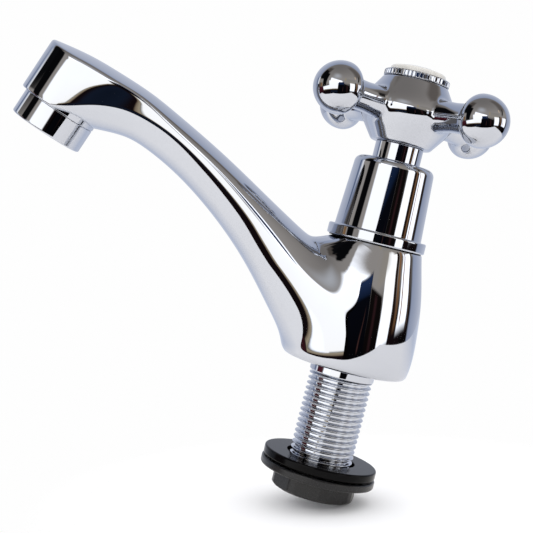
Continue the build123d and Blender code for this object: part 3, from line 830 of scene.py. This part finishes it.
def handle_cross():
    """Hub, arms and balls as one closed skin, drawn onto the distance field."""
    bottom, top = heights("handle_cross")
    bm = bmesh.new()
    hub = [(0, bottom)] + [(float(hub_radius(z)), z) for z in np.linspace(bottom, top, 24)] + [(0, top)]
    revolve(bm, hub, segments=96)
    for k in range(arm_count):
        turn = Matrix.Rotation(radians(arm_turn + 360 * k / arm_count), 4, "Z")
        place = Matrix.Translation((0, 0, handle_height)) @ turn @ Matrix.Rotation(radians(90), 4, "Y")
        start, end = arm_places[0], arm_reach - 3.0
        neck = [(0, start)] + [(float(arm_radius(s)), s) for s in np.linspace(start, end, 12)] + [(0, end)]
        revolve(bm, neck, segments=48, place=place)
        ball = []
        for a in np.linspace(0, pi, 33):
            length = ball_inner_length if a < pi / 2 else ball_dome_length
            ball.append((ball_radius * sin(a), arm_reach - length * cos(a)))
        revolve(bm, ball, segments=48, place=place)
    bmesh.ops.remove_doubles(bm, verts=bm.verts, dist=0.0005)
    bmesh.ops.recalc_face_normals(bm, faces=bm.faces)
    rough = bpy.data.meshes.new("handle_rough")
    bm.to_mesh(rough)
    bm.free()
    block = show("handle_rough", rough)
    skin = block.modifiers.new("skin", "REMESH")
    skin.mode = "VOXEL"
    skin.voxel_size = handle_voxel
    mesh = settled(block)
    points = np.zeros(len(mesh.vertices) * 3)
    mesh.vertices.foreach_get("co", points)
    points = points.reshape(-1, 3)
    # The points step onto the field's skin, by no more than 0.3 mm at a time
    for _ in range(12):
        value = handle_field(points)
        way = slope(handle_field, points)
        points = points - way * np.clip(value / np.maximum((way**2).sum(1), 0.2), -0.3, 0.3)[:, None]
    way = slope(handle_field, points)
    way /= np.linalg.norm(way, axis=1)[:, None]
    mesh.vertices.foreach_set("co", (points * MM).ravel())
    mesh.name = "handle_cross_skin"
    mesh.shade_smooth()
    mesh.normals_split_custom_set_from_vertices(way.tolist())
    place_piece("handle_cross_skin", mesh, "handle_cross")


# Pieces made by geometry node trees


def grown(name, build, values):
    """Builds a node tree, runs it on an empty mesh with the given values, and returns what it makes as a bmesh."""
    tree = bpy.data.node_groups.new(name, "GeometryNodeTree")
    tree.interface.new_socket("Geometry", in_out="OUTPUT", socket_type="NodeSocketGeometry")
    sockets = {}
    for label, value in values.items():
        kind = {int: "NodeSocketInt", float: "NodeSocketFloat"}.get(type(value), "NodeSocketMaterial")
        sockets[label] = tree.interface.new_socket(label, in_out="INPUT", socket_type=kind)
    start = add(tree, "NodeGroupInput")
    made = build(tree, start.outputs)
    real = add(tree, "GeometryNodeRealizeInstances", {"Geometry": made})
    painted = add(tree, "GeometryNodeSetMaterial", {"Geometry": real.outputs[0], "Material": start.outputs["Finish"]})
    add(tree, "NodeGroupOutput", {"Geometry": painted.outputs[0]})
    holder = show(name, bpy.data.meshes.new(name))
    modifier = holder.modifiers.new(name, "NODES")
    modifier.node_group = tree
    for label, value in values.items():
        modifier[sockets[label].identifier] = value
    holder.update_tag()
    bm = bmesh.new()
    bm.from_mesh(settled(holder))
    return bm


def flat_grid(tree, around, rows):
    """A flat grid, to be wrapped round the axis, with each point's share of the way round and of the way up."""
    size = {"Size X": 1.0, "Size Y": 1.0, "Vertices X": around, "Vertices Y": rows}
    grid = add(tree, "GeometryNodeMeshGrid", size).outputs["Mesh"]
    place = add(tree, "ShaderNodeSeparateXYZ", {0: add(tree, "GeometryNodeInputPosition").outputs[0]})
    turn = add(tree, "ShaderNodeMath", {0: place.outputs["X"], 1: 0.5}, operation="ADD").outputs[0]
    rise = add(tree, "ShaderNodeMath", {0: place.outputs["Y"], 1: 0.5}, operation="ADD").outputs[0]
    return grid, turn, rise


def wrapped(tree, grid, turn, radius, z):
    """The grid with its points moved to their radius and height round the axis."""
    angle = add(tree, "ShaderNodeMath", {0: turn, 1: 2 * pi}, operation="MULTIPLY").outputs[0]
    place = {"Z": z}
    for axis, part in (("X", "COSINE"), ("Y", "SINE")):
        share = add(tree, "ShaderNodeMath", {0: angle}, operation=part).outputs[0]
        place[axis] = add(tree, "ShaderNodeMath", {0: radius, 1: share}, operation="MULTIPLY").outputs[0]
    spot = add(tree, "ShaderNodeCombineXYZ", place).outputs[0]
    return add(tree, "GeometryNodeSetPosition", {"Geometry": grid, "Position": spot}).outputs[0]


def line_bore(bm, ends, radius, count):
    """Closes a tube's open ends, at two heights, with flat rings of faces, and lines its bore."""
    rims = [e for e in bm.edges if len(e.link_faces) == 1]
    bore = []
    for height in ends:
        outer = [e for e in rims if all(abs(v.co.z - height) < 0.01 for v in e.verts)]
        angles = [2 * pi * k / count for k in range(count)]
        ring = [bm.verts.new((radius * cos(a), radius * sin(a), height)) for a in angles]
        inner = [bm.edges.new((ring[k], ring[(k + 1) % count])) for k in range(count)]
        bmesh.ops.bridge_loops(bm, edges=outer + inner)
        bore += inner
    bmesh.ops.bridge_loops(bm, edges=bore)


def helix_tree(tree, given):
    """A thread: a grid wrapped round the axis, whose rows climb one pitch per turn and whose radius
    follows a rounded V between root and crest. It is longer than the tail and is cut to length later."""
    around, rows_per_turn = 96, 16
    grid, turn, climb = flat_grid(tree, around + 1, rows_per_turn * thread_turns + 1)
    turns = add(tree, "ShaderNodeMath", {0: climb, 1: given["Turns"]}, operation="MULTIPLY").outputs[0]
    height = add(tree, "ShaderNodeMath", {0: turns, 1: turn}, operation="ADD").outputs[0]
    rise = add(tree, "ShaderNodeMath", {0: height, 1: given["Pitch"]}, operation="MULTIPLY").outputs[0]
    z = add(tree, "ShaderNodeMath", {0: rise, 1: given["Bottom"]}, operation="ADD").outputs[0]
    flank = add(tree, "ShaderNodeMath", {0: turns, 1: 0.5}, operation="PINGPONG").outputs[0]
    form = {"Value": flank, "From Min": 0.2, "From Max": 0.42, "To Min": given["Root"], "To Max": given["Crest"]}
    radius = add(tree, "ShaderNodeMapRange", form, interpolation_type="SMOOTHSTEP").outputs["Result"]
    return wrapped(tree, grid, turn, radius, z)


def threaded_tail():
    """The G1/2 tail: helical thread, plain collar and through bore."""
    bottom = heights("threaded_tail")[0]
    sizes = {
        "Turns": float(thread_turns),
        "Pitch": thread_pitch,
        "Bottom": bottom - 2 * thread_pitch,
        "Root": thread_root_radius,
        "Crest": thread_radius,
        "Finish": chrome,
    }
    bm = grown("tail_thread_helix", helix_tree, sizes)
    bmesh.ops.remove_doubles(bm, verts=bm.verts, dist=0.001)
    for height, way in ((bottom, -1), (tail_collar_bottom, 1)):
        parts = list(bm.verts) + list(bm.edges) + list(bm.faces)
        cut = {"plane_co": (0, 0, height), "plane_no": (0, 0, way), "clear_outer": True, "dist": 0.0001}
        bmesh.ops.bisect_plane(bm, geom=parts, **cut)
    # Lead-in chamfer at the free end
    for v in bm.verts:
        reach = hypot(v.co.x, v.co.y)
        limit = thread_root_radius - 0.1 + (v.co.z - bottom) * 0.9
        if reach > limit:
            v.co.x *= limit / reach
            v.co.y *= limit / reach
    line_bore(bm, (bottom, tail_collar_bottom), tail_bore_radius, 96)
    collar = [
        (tail_bore_radius, tail_collar_top, 0),
        (tail_collar_radius, tail_collar_top, 0),
        (tail_collar_radius, tail_collar_bottom, 0.4),
        (tail_bore_radius, tail_collar_bottom, 0),
    ]
    revolve(bm, rounded(collar), segments=128, closed=True)
    finish_mesh("threaded_tail_helix", bm, "threaded_tail", sharp=60.0)


def coin_edge_tree(tree, given):
    """A ring band whose outer face is fluted: the radius follows a rounded wave round the edge, which
    fades out towards the plain rims."""
    points_per_flute, rows = 8, 15
    band, turn, rise = flat_grid(tree, ring_flutes * points_per_flute + 1, rows)
    waves = add(tree, "ShaderNodeMath", {0: turn, 1: given["Flutes"]}, operation="MULTIPLY").outputs[0]
    wave = add(tree, "ShaderNodeMath", {0: waves, 1: 0.5}, operation="PINGPONG").outputs[0]
    edge = add(tree, "ShaderNodeMath", {0: rise, 1: 0.5}, operation="PINGPONG").outputs[0]
    sunk = []
    for along, start, end in ((wave, 0.26, 0.46), (edge, 0.05, 0.12)):
        limits = {"Value": along, "From Min": start, "From Max": end}
        sunk.append(add(tree, "ShaderNodeMapRange", limits, interpolation_type="SMOOTHSTEP").outputs["Result"])
    flute = add(tree, "ShaderNodeMath", {0: sunk[0], 1: sunk[1]}, operation="MULTIPLY").outputs[0]
    depth = add(tree, "ShaderNodeMath", {0: flute, 1: given["Depth"]}, operation="MULTIPLY").outputs[0]
    # The two rims are rounded off a little
    rim = {"Value": edge, "From Min": 0.0, "From Max": 0.08, "To Min": 0.12, "To Max": 0.0}
    soft = add(tree, "ShaderNodeMapRange", rim).outputs["Result"]
    lost = add(tree, "ShaderNodeMath", {0: depth, 1: soft}, operation="ADD").outputs[0]
    radius = add(tree, "ShaderNodeMath", {0: given["Radius"], 1: lost}, operation="SUBTRACT").outputs[0]
    up = add(tree, "ShaderNodeMath", {0: rise, 1: given["Height"]}, operation="MULTIPLY").outputs[0]
    z = add(tree, "ShaderNodeMath", {0: up, 1: given["Bottom"]}, operation="ADD").outputs[0]
    return wrapped(tree, band, turn, radius, z)


def index_ring():
    """Coin-edged bezel round the button, from the top of the handle up."""
    top = heights("index_ring")[1]
    bottom = heights("handle_cross")[1]
    sizes = {
        "Flutes": float(ring_flutes),
        "Depth": flute_depth,
        "Radius": ring_radius,
        "Height": top - bottom,
        "Bottom": bottom,
        "Finish": chrome,
    }
    bm = grown("coin_edge_flutes", coin_edge_tree, sizes)
    bmesh.ops.remove_doubles(bm, verts=bm.verts, dist=0.001)
    line_bore(bm, (bottom, top), button_radius + 0.05, 136)
    finish_mesh("index_ring_coin_edge", bm, "index_ring", sharp=50.0)


def wire_cloth_tree(tree, given):
    """Woven wire cloth cut round: two sets of parallel wires, each as long as the circle allows."""
    sets = []
    for across in (0.0, pi / 2):
        row = {"Count": given["Wires"], "Start Location": (0, 0, 0), "Offset": (0, 0, 0)}
        line = add(tree, "GeometryNodeMeshLine", row, mode="OFFSET").outputs[0]
        index = add(tree, "GeometryNodeInputIndex").outputs[0]
        last = add(tree, "ShaderNodeMath", {0: given["Wires"], 1: 1.0}, operation="SUBTRACT").outputs[0]
        half = add(tree, "ShaderNodeMath", {0: last, 1: 0.5}, operation="MULTIPLY").outputs[0]
        centred = add(tree, "ShaderNodeMath", {0: index, 1: half}, operation="SUBTRACT").outputs[0]
        off = add(tree, "ShaderNodeMath", {0: centred, 1: given["Spacing"]}, operation="MULTIPLY").outputs[0]
        share = add(tree, "ShaderNodeMath", {0: off, 1: given["Radius"]}, operation="DIVIDE").outputs[0]
        square = add(tree, "ShaderNodeMath", {0: share, 1: share}, operation="MULTIPLY").outputs[0]
        rest = add(tree, "ShaderNodeMath", {0: 1.0, 1: square}, operation="SUBTRACT").outputs[0]
        chord = add(tree, "ShaderNodeMath", {0: rest}, operation="SQRT").outputs[0]
        length = add(tree, "ShaderNodeMath", {0: chord, 1: given["Radius"]}, operation="MULTIPLY").outputs[0]
        # One set lies half a wire above the middle, the other half a wire below it
        lift = 0.5 if across else -0.5
        level = add(tree, "ShaderNodeMath", {0: given["Wire"], 1: lift}, operation="MULTIPLY").outputs[0]
        spot = add(tree, "ShaderNodeCombineXYZ", {"X": off, "Z": level}).outputs[0]
        spread = add(tree, "GeometryNodeSetPosition", {"Geometry": line, "Position": spot}).outputs[0]
        round_wire = {"Vertices": 8, "Radius": given["Wire"], "Depth": 2.0}
        wire = add(tree, "GeometryNodeMeshCylinder", round_wire).outputs["Mesh"]
        laid = add(tree, "GeometryNodeTransform", {"Geometry": wire, "Rotation": (pi / 2, 0, 0)}).outputs[0]
        size = add(tree, "ShaderNodeCombineXYZ", {"X": 1.0, "Y": length, "Z": 1.0}).outputs[0]
        cut = {"Points": spread, "Instance": laid, "Scale": size}
        wires = add(tree, "GeometryNodeInstanceOnPoints", cut).outputs[0]
        sets.append(add(tree, "GeometryNodeTransform", {"Geometry": wires, "Rotation": (0, 0, across)}).outputs[0])
    joined = add(tree, "GeometryNodeJoinGeometry")
    for one in sets:
        tree.links.new(one, joined.inputs[0])
    return joined.outputs[0]


def aerator_screen():
    """Wire cloth at the mouth of the aerator, just inside the lip."""
    sizes = {
        "Wires": screen_wires,
        "Spacing": screen_spacing,
        "Radius": housing_lip_radius + 0.25,
        "Wire": screen_wire_radius,
        "Finish": steel,
    }
    bm = grown("wire_cloth", wire_cloth_tree, sizes)
    place = outlet_frame @ Matrix.Translation((0, 0, screen_height - housing_length))
    bmesh.ops.transform(bm, matrix=place, verts=bm.verts)
    finish_mesh("aerator_wire_cloth", bm, "aerator_screen", sharp=80.0)


body_casting()
bonnet_shroud()
neck_bush()
dark_seal()
outlet_housing()
clamping_washer()
index_button()
moulded_backnut()
handle_cross()
threaded_tail()
index_ring()
aerator_screen()

# Camera at the photograph's viewing angle: in front of the tap and about level with its collar, rolled so
# that the tap leans to the right
camera_spot = (-20.0, -350.0, 43.8)
camera_yaw = radians(-2.06)
camera_pitch = radians(-3.0)
camera_roll = radians(14.0)
focal_pixels = 1067.0
picture_side = 533.0
sensor = 36.0

look = Vector((sin(camera_yaw) * cos(camera_pitch), cos(camera_yaw) * cos(camera_pitch), sin(camera_pitch)))
level_right = Vector((cos(camera_yaw), -sin(camera_yaw), 0))
level_up = level_right.cross(look)
view_right = level_right * cos(camera_roll) + level_up * sin(camera_roll)
view_up = level_up * cos(camera_roll) - level_right * sin(camera_roll)
camera = show("camera", bpy.data.cameras.new("camera"))
camera.data.sensor_width = sensor
camera.data.lens = sensor * focal_pixels / picture_side
camera.data.clip_start = 0.01
camera_axes = Matrix((view_right, view_up, -look)).transposed().to_4x4()
camera.matrix_world = Matrix.Translation(Vector(camera_spot) * MM) @ camera_axes
bpy.context.scene.camera = camera
bpy.context.scene.view_settings.view_transform = "Standard"

# Studio: a pale table under the leaning tap, a white backdrop behind it, soft lights and dark flags in front
table_up = (view_up - view_up.project(Vector((0, 1, 0)))).normalized()
studio_centre = Vector((0, 0, 55)) * MM


def bare_material(name):
    """A new material with an empty tree."""
    made = bpy.data.materials.new(name)
    made.use_nodes = True
    made.node_tree.nodes.clear()
    return made, made.node_tree


def glow(name, low_code, high_code, strength, soft_sides, soft_ends):
    """A light-giving surface, shaded from its low to its high edge, that fades out softly at its edges."""
    made, tree = bare_material(name)
    place = add(tree, "ShaderNodeSeparateXYZ", {0: add(tree, "ShaderNodeTexCoord").outputs["UV"]})
    shades = {"Factor": place.outputs["Y"], 6: colour(low_code), 7: colour(high_code)}
    tone = add(tree, "ShaderNodeMix", shades, data_type="RGBA")
    light = add(tree, "ShaderNodeEmission", {"Color": tone.outputs[2], "Strength": strength})
    masks = []
    for axis, soft in (("X", soft_sides), ("Y", soft_ends)):
        edge = add(tree, "ShaderNodeMath", {0: place.outputs[axis], 1: 0.5}, operation="PINGPONG").outputs[0]
        fade = {"Value": edge, "From Min": 0.0, "From Max": soft}
        masks.append(add(tree, "ShaderNodeMapRange", fade, interpolation_type="SMOOTHSTEP").outputs["Result"])
    mask = add(tree, "ShaderNodeMath", {0: masks[0], 1: masks[1]}, operation="MULTIPLY").outputs[0]
    clear = add(tree, "ShaderNodeBsdfTransparent").outputs[0]
    both = add(tree, "ShaderNodeMixShader", {0: mask, 1: clear, 2: light.outputs[0]})
    add(tree, "ShaderNodeOutputMaterial", {"Surface": both.outputs[0]})
    # Mirrors find the cards by themselves; nothing else is lit by them
    made.cycles.emission_sampling = "NONE"
    return made


def card(name, distance, soft, corners, low_code, high_code=None, strength=1.0):
    """A curved card round the tap, so many metres from its middle, with edges that fade out over the given
    shares of its width and height. Its corners, from low left round to high left, are angles in degrees seen
    from there: to the right of and above the camera. Only reflections see it."""
    steps = 10
    points, places = [], []
    for j in range(steps + 1):
        for i in range(steps + 1):
            u, v = i / steps, j / steps
            weights = ((1 - u) * (1 - v), u * (1 - v), u * v, (1 - u) * v)
            a = radians(sum(w * corner[0] for w, corner in zip(weights, corners)))
            e = radians(sum(w * corner[1] for w, corner in zip(weights, corners)))
            towards = (view_right * sin(a) - look * cos(a)) * cos(e) + view_up * sin(e)
            points.append(tuple(studio_centre + towards * distance))
            places.append((u, v))
    row = steps + 1
    faces = [(k, k + 1, k + 1 + row, k + row) for j in range(steps) for k in range(j * row, j * row + steps)]
    mesh = bpy.data.meshes.new(name)
    mesh.from_pydata(points, [], faces)
    spread = mesh.uv_layers.new(name="card")
    for loop in mesh.loops:
        spread.data[loop.index].uv = places[loop.vertex_index]
    mesh.materials.append(glow(name, low_code, high_code or low_code, strength, *soft))
    made = show(name, mesh)
    made.visible_camera = False
    made.visible_diffuse = False
    made.visible_shadow = False


# Lights in front of the tap
card("soft_box", 0.9, (0.09, 0.25), [(-46, 2), (9, 12), (10, 19), (-42, 38)], "#FFFFFF", strength=2.3)
card("soft_glow", 0.92, (0.5, 0.5), [(-46, 26), (12, 20), (18, 52), (-38, 62)], "#FFFFFF", strength=0.62)
card("white_wall", 0.88, (0.1, 0.06), [(-47, -11), (-8, -13), (-8, 24), (-50, 23)], "#F8F4EC", "#FFFFFF", 1.8)
card("white_wall_end", 0.89, (0.06, 0.12), [(-77, -9), (-36, -12), (-36, 6), (-77, 2)], "#FFFFFF", strength=1.8)
card("skirting", 0.87, (0.04, 0.3), [(-78, -12), (-8, -15.5), (-8, -12), (-78, -8.5)], "#5A4030", "#D8C8A8")
card("window", 0.6, (0.08, 0.12), [(37, -20), (58, -18), (58, 12), (36, 14)], "#FFFFFF", "#FFFBF2", 1.9)
card("window_head", 0.62, (0.2, 0.2), [(18, 7), (62, 9), (64, 24), (20, 32)], "#BDB2A2", "#A8A29A", 0.9)
card("side_window", 0.6, (0.1, 0.12), [(71, -16), (94, -15), (95, 10), (72, 12)], "#FFFFFF", strength=2.0)
# Dark flags round the camera
card("camera_flag", 0.36, (0.03, 0.04), [(-10, -36), (17, -36), (12, 17), (-9, 18)], "#050404", "#0C0E16")
card("camera_flag_top", 0.359, (0.04, 0.2), [(-9, 5), (12, 5), (12, 17), (-9, 18)], "#10192B", "#2A3D63")
card("camera_flag_foot", 0.361, (0.06, 0.05), [(-18, -34), (-9, -36), (-8, 12), (-11, 6)], "#080606")
card("camera_flag_side", 0.362, (0.04, 0.06), [(16, -36), (38, -32), (34, 2), (12, 12)], "#0A0808", "#15100F")
card("brown_strip", 0.355, (0.5, 0.2), [(20, -24), (28, -24), (27, 4), (19, 8)], "#2C191A", "#3A2224")
card("brown_line", 0.354, (0.5, 0.3), [(4, -22), (7, -22), (9, 3), (7, 3)], "#5A3A34", "#3A2624")
card("low_flag", 0.5, (0.1, 0.2), [(38, -30), (64, -27), (62, -17), (40, -19)], "#16100D", "#4A3524")
card("side_low_flag", 0.5, (0.15, 0.2), [(80, -28), (108, -24), (104, -14), (82, -15)], "#0C0A0A")
# Wooden posts beside the windows
card("dark_post", 0.59, (0.15, 0.1), [(57.5, -16), (63, -16), (63, 15), (57.5, 15)], "#2A1A12")
card("oak_post", 0.59, (0.3, 0.1), [(63, -15), (70, -15), (70, 14), (63, 14)], "#6A4A32", "#A87E58")
card("copper_post", 0.58, (0.3, 0.1), [(76, -14), (79, -14), (79, 12), (76, 12)], "#B07A48", "#8A5A38")
card("outer_post", 0.58, (0.2, 0.1), [(94, -16), (98.5, -15), (98.5, 13), (94, 13)], "#54443A")
# Left side of the room
card("left_black", 0.8, (0.15, 0.1), [(-78, 2), (-61, 2), (-50, 50), (-84, 56)], "#0C0C0E")
card("left_upper_black", 0.81, (0.15, 0.15), [(-106, 26), (-72, 25), (-66, 60), (-106, 62)], "#101012")
card("left_tan", 0.79, (0.3, 0.2), [(-90, 4), (-79, 4), (-79, 18), (-90, 18)], "#A37C52", "#8A6A4A")
card("left_brown", 0.8, (0.2, 0.1), [(-101, 2), (-88, 2), (-88, 18), (-101, 18)], "#6A5A50")
card("left_white", 0.8, (0.3, 0.1), [(-110, -2), (-100, -2), (-100, 34), (-110, 34)], "#FFFFFF", strength=1.1)
card("left_blue", 0.8, (0.5, 0.2), [(-122, -4), (-110, -4), (-110, 34), (-122, 34)], "#62718F")
card("under_table", 0.86, (0.1, 0.3), [(-46, -36), (-6, -36), (-6, -17), (-46, -14)], "#08090D", "#1C2536")
card("left_maroon", 0.78, (0.1, 0.12), [(-104, -24), (-77, -22), (-77, 4), (-104, 8)], "#100708", "#5A2630")
# Darker ends of the ceiling
card("left_ceiling", 1.0, (0.3, 0.25), [(-112, 30), (-56, 38), (-50, 76), (-112, 76)], "#5C544D")
card("right_ceiling", 1.0, (0.35, 0.25), [(58, 24), (112, 18), (112, 72), (66, 76)], "#736B64")
# Small things higher up
card("tan_spot", 0.6, (0.3, 0.2), [(15, 17), (21, 17), (25, 32), (19, 33)], "#B8A888")
card("beam", 0.7, (0.35, 0.3), [(68, 14), (77, 12), (94, 34), (84, 38)], "#2C2825")
card("beam_spot", 0.68, (0.35, 0.3), [(60, 23), (68, 25), (70, 37), (62, 35)], "#D8BFA4", strength=1.2)


def studio_world():
    """White to the camera; reflections see the white backdrop behind the tap and a dim room in front of it;
    everything else is lit by plain soft white."""
    world = bpy.data.worlds.new("studio")
    bpy.context.scene.world = world
    world.use_nodes = True
    world.cycles.sampling_method = "NONE"
    tree = world.node_tree
    tree.nodes.clear()
    way = add(tree, "ShaderNodeTexCoord").outputs["Generated"]
    behind = add(tree, "ShaderNodeVectorMath", {0: way, 1: tuple(look)}, operation="DOT_PRODUCT").outputs["Value"]
    above = add(tree, "ShaderNodeVectorMath", {0: way, 1: tuple(view_up)}, operation="DOT_PRODUCT").outputs["Value"]
    path = add(tree, "ShaderNodeLightPath").outputs
    mirrors = {0: path["Is Glossy Ray"], 1: path["Is Transmission Ray"]}
    shares = {"mirrored": add(tree, "ShaderNodeMath", mirrors, operation="MAXIMUM").outputs[0]}
    # Where each part of the room begins and ends, as cosines from straight behind or straight up
    for name, cosine, start, end, ease in (
        ("backdrop", behind, cos(radians(78)), cos(radians(72)), "SMOOTHSTEP"),
        ("paper", behind, cos(radians(74)), cos(radians(40)), "LINEAR"),
        ("room", above, -0.12, 0.25, "SMOOTHSTEP"),
        ("ceiling", above, 0.45, 1.0, "LINEAR"),
    ):
        limits = {"Value": cosine, "From Min": start, "From Max": end}
        shares[name] = add(tree, "ShaderNodeMapRange", limits, interpolation_type=ease).outputs["Result"]
    shares["all"] = path["Is Camera Ray"]
    # Each tone goes from the first to the second as its share grows
    tones = {"soft white": (1.3, 1.3, 1.31, 1.0)}
    for name, first, second in (
        ("ceiling", "#AFA79E", "#88827C"),
        ("room", "#170F11", "ceiling"),
        ("paper", "#AEB7CC", "#CFD4E2"),
        ("backdrop", "room", "paper"),
        ("mirrored", "soft white", "backdrop"),
        ("all", "mirrored", "#FEFEFE"),
    ):
        ends = [colour(tone) if tone.startswith("#") else tones[tone] for tone in (first, second)]
        shades = {"Factor": shares[name], 6: ends[0], 7: ends[1]}
        tones[name] = add(tree, "ShaderNodeMix", shades, data_type="RGBA").outputs[2]
    back = add(tree, "ShaderNodeBackground", {"Color": tones["all"], "Strength": 1.0})
    add(tree, "ShaderNodeOutputWorld", {"Surface": back.outputs[0]})


studio_world()


def table():
    """The pale table top, just under the lowest corner of the leaning backnut. It ends in front of the tap,
    and to the camera it fades into the white round the shadow."""
    nut_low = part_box("backnut")[0].z
    nut_corner = nut_flat_distance / cos(pi / nut_sides) * MM
    lowest = min(Vector((s * nut_corner, 0, nut_low)).dot(table_up) for s in (-1, 1))
    side = table_up.cross(Vector((0, 1, 0))).normalized() * -1
    middle = table_up * (lowest - 0.0003)
    # Metres to the right of the tap's foot and behind it
    corners = [(-0.12, -0.222), (0.24, -0.222), (0.24, 0.5), (-0.42, 0.5), (-0.42, -0.04), (-0.27, -0.1)]
    mesh = bpy.data.meshes.new("table_top")
    mesh.from_pydata([tuple(middle + side * a + Vector((0, b, 0))) for a, b in corners], [], [tuple(range(6))])
    made, tree = bare_material("white_table_laminate")
    place = add(tree, "ShaderNodeTexCoord").outputs["Object"]
    path = add(tree, "ShaderNodeLightPath").outputs
    # How far each spot is from where the nut touches the table and from the middle of the painted pool of light that
    # mirrors see on it
    shares = []
    for centre, start, end in (
        (middle + side * 0.013, 0.06, 0.12),
        (middle + side * -0.17 + Vector((0, -0.1, 0)), 0.04, 0.3),
    ):
        off = add(tree, "ShaderNodeVectorMath", {0: place, 1: tuple(centre)}, operation="DISTANCE").outputs["Value"]
        limits = {"Value": off, "From Min": start, "From Max": end}
        shares.append(add(tree, "ShaderNodeMapRange", limits, interpolation_type="SMOOTHSTEP").outputs["Result"])
    away, painted_pool_falloff = shares
    depth = add(tree, "ShaderNodeSeparateXYZ", {0: place}).outputs["Y"]
    painted_cool_rear = add(tree, "ShaderNodeMapRange", {"Value": depth, "From Min": 0.02, "From Max": 0.2}).outputs["Result"]
    # Painted light for mirrors: a painted pool of light that dims further off, and a painted cool tint at the rear;
    # the camera sees plain white
    tone = colour("#FBF8F4")
    for share, code in ((painted_pool_falloff, "#F3F0ED"), (painted_cool_rear, "#C2C8D5"), (path["Is Camera Ray"], "#FBFBFC")):
        shades = {"Factor": share, 6: tone, 7: colour(code)}
        tone = add(tree, "ShaderNodeMix", shades, data_type="RGBA").outputs[2]
    clear = add(tree, "ShaderNodeMath", {0: away, 1: path["Is Camera Ray"]}, operation="MULTIPLY").outputs[0]
    white = add(tree, "ShaderNodeBsdfDiffuse", {"Color": tone}).outputs[0]
    through = add(tree, "ShaderNodeBsdfTransparent").outputs[0]
    both = add(tree, "ShaderNodeMixShader", {0: clear, 1: white, 2: through})
    add(tree, "ShaderNodeOutputMaterial", {"Surface": both.outputs[0]})
    mesh.materials.append(made)
    show("table_top", mesh)


table()
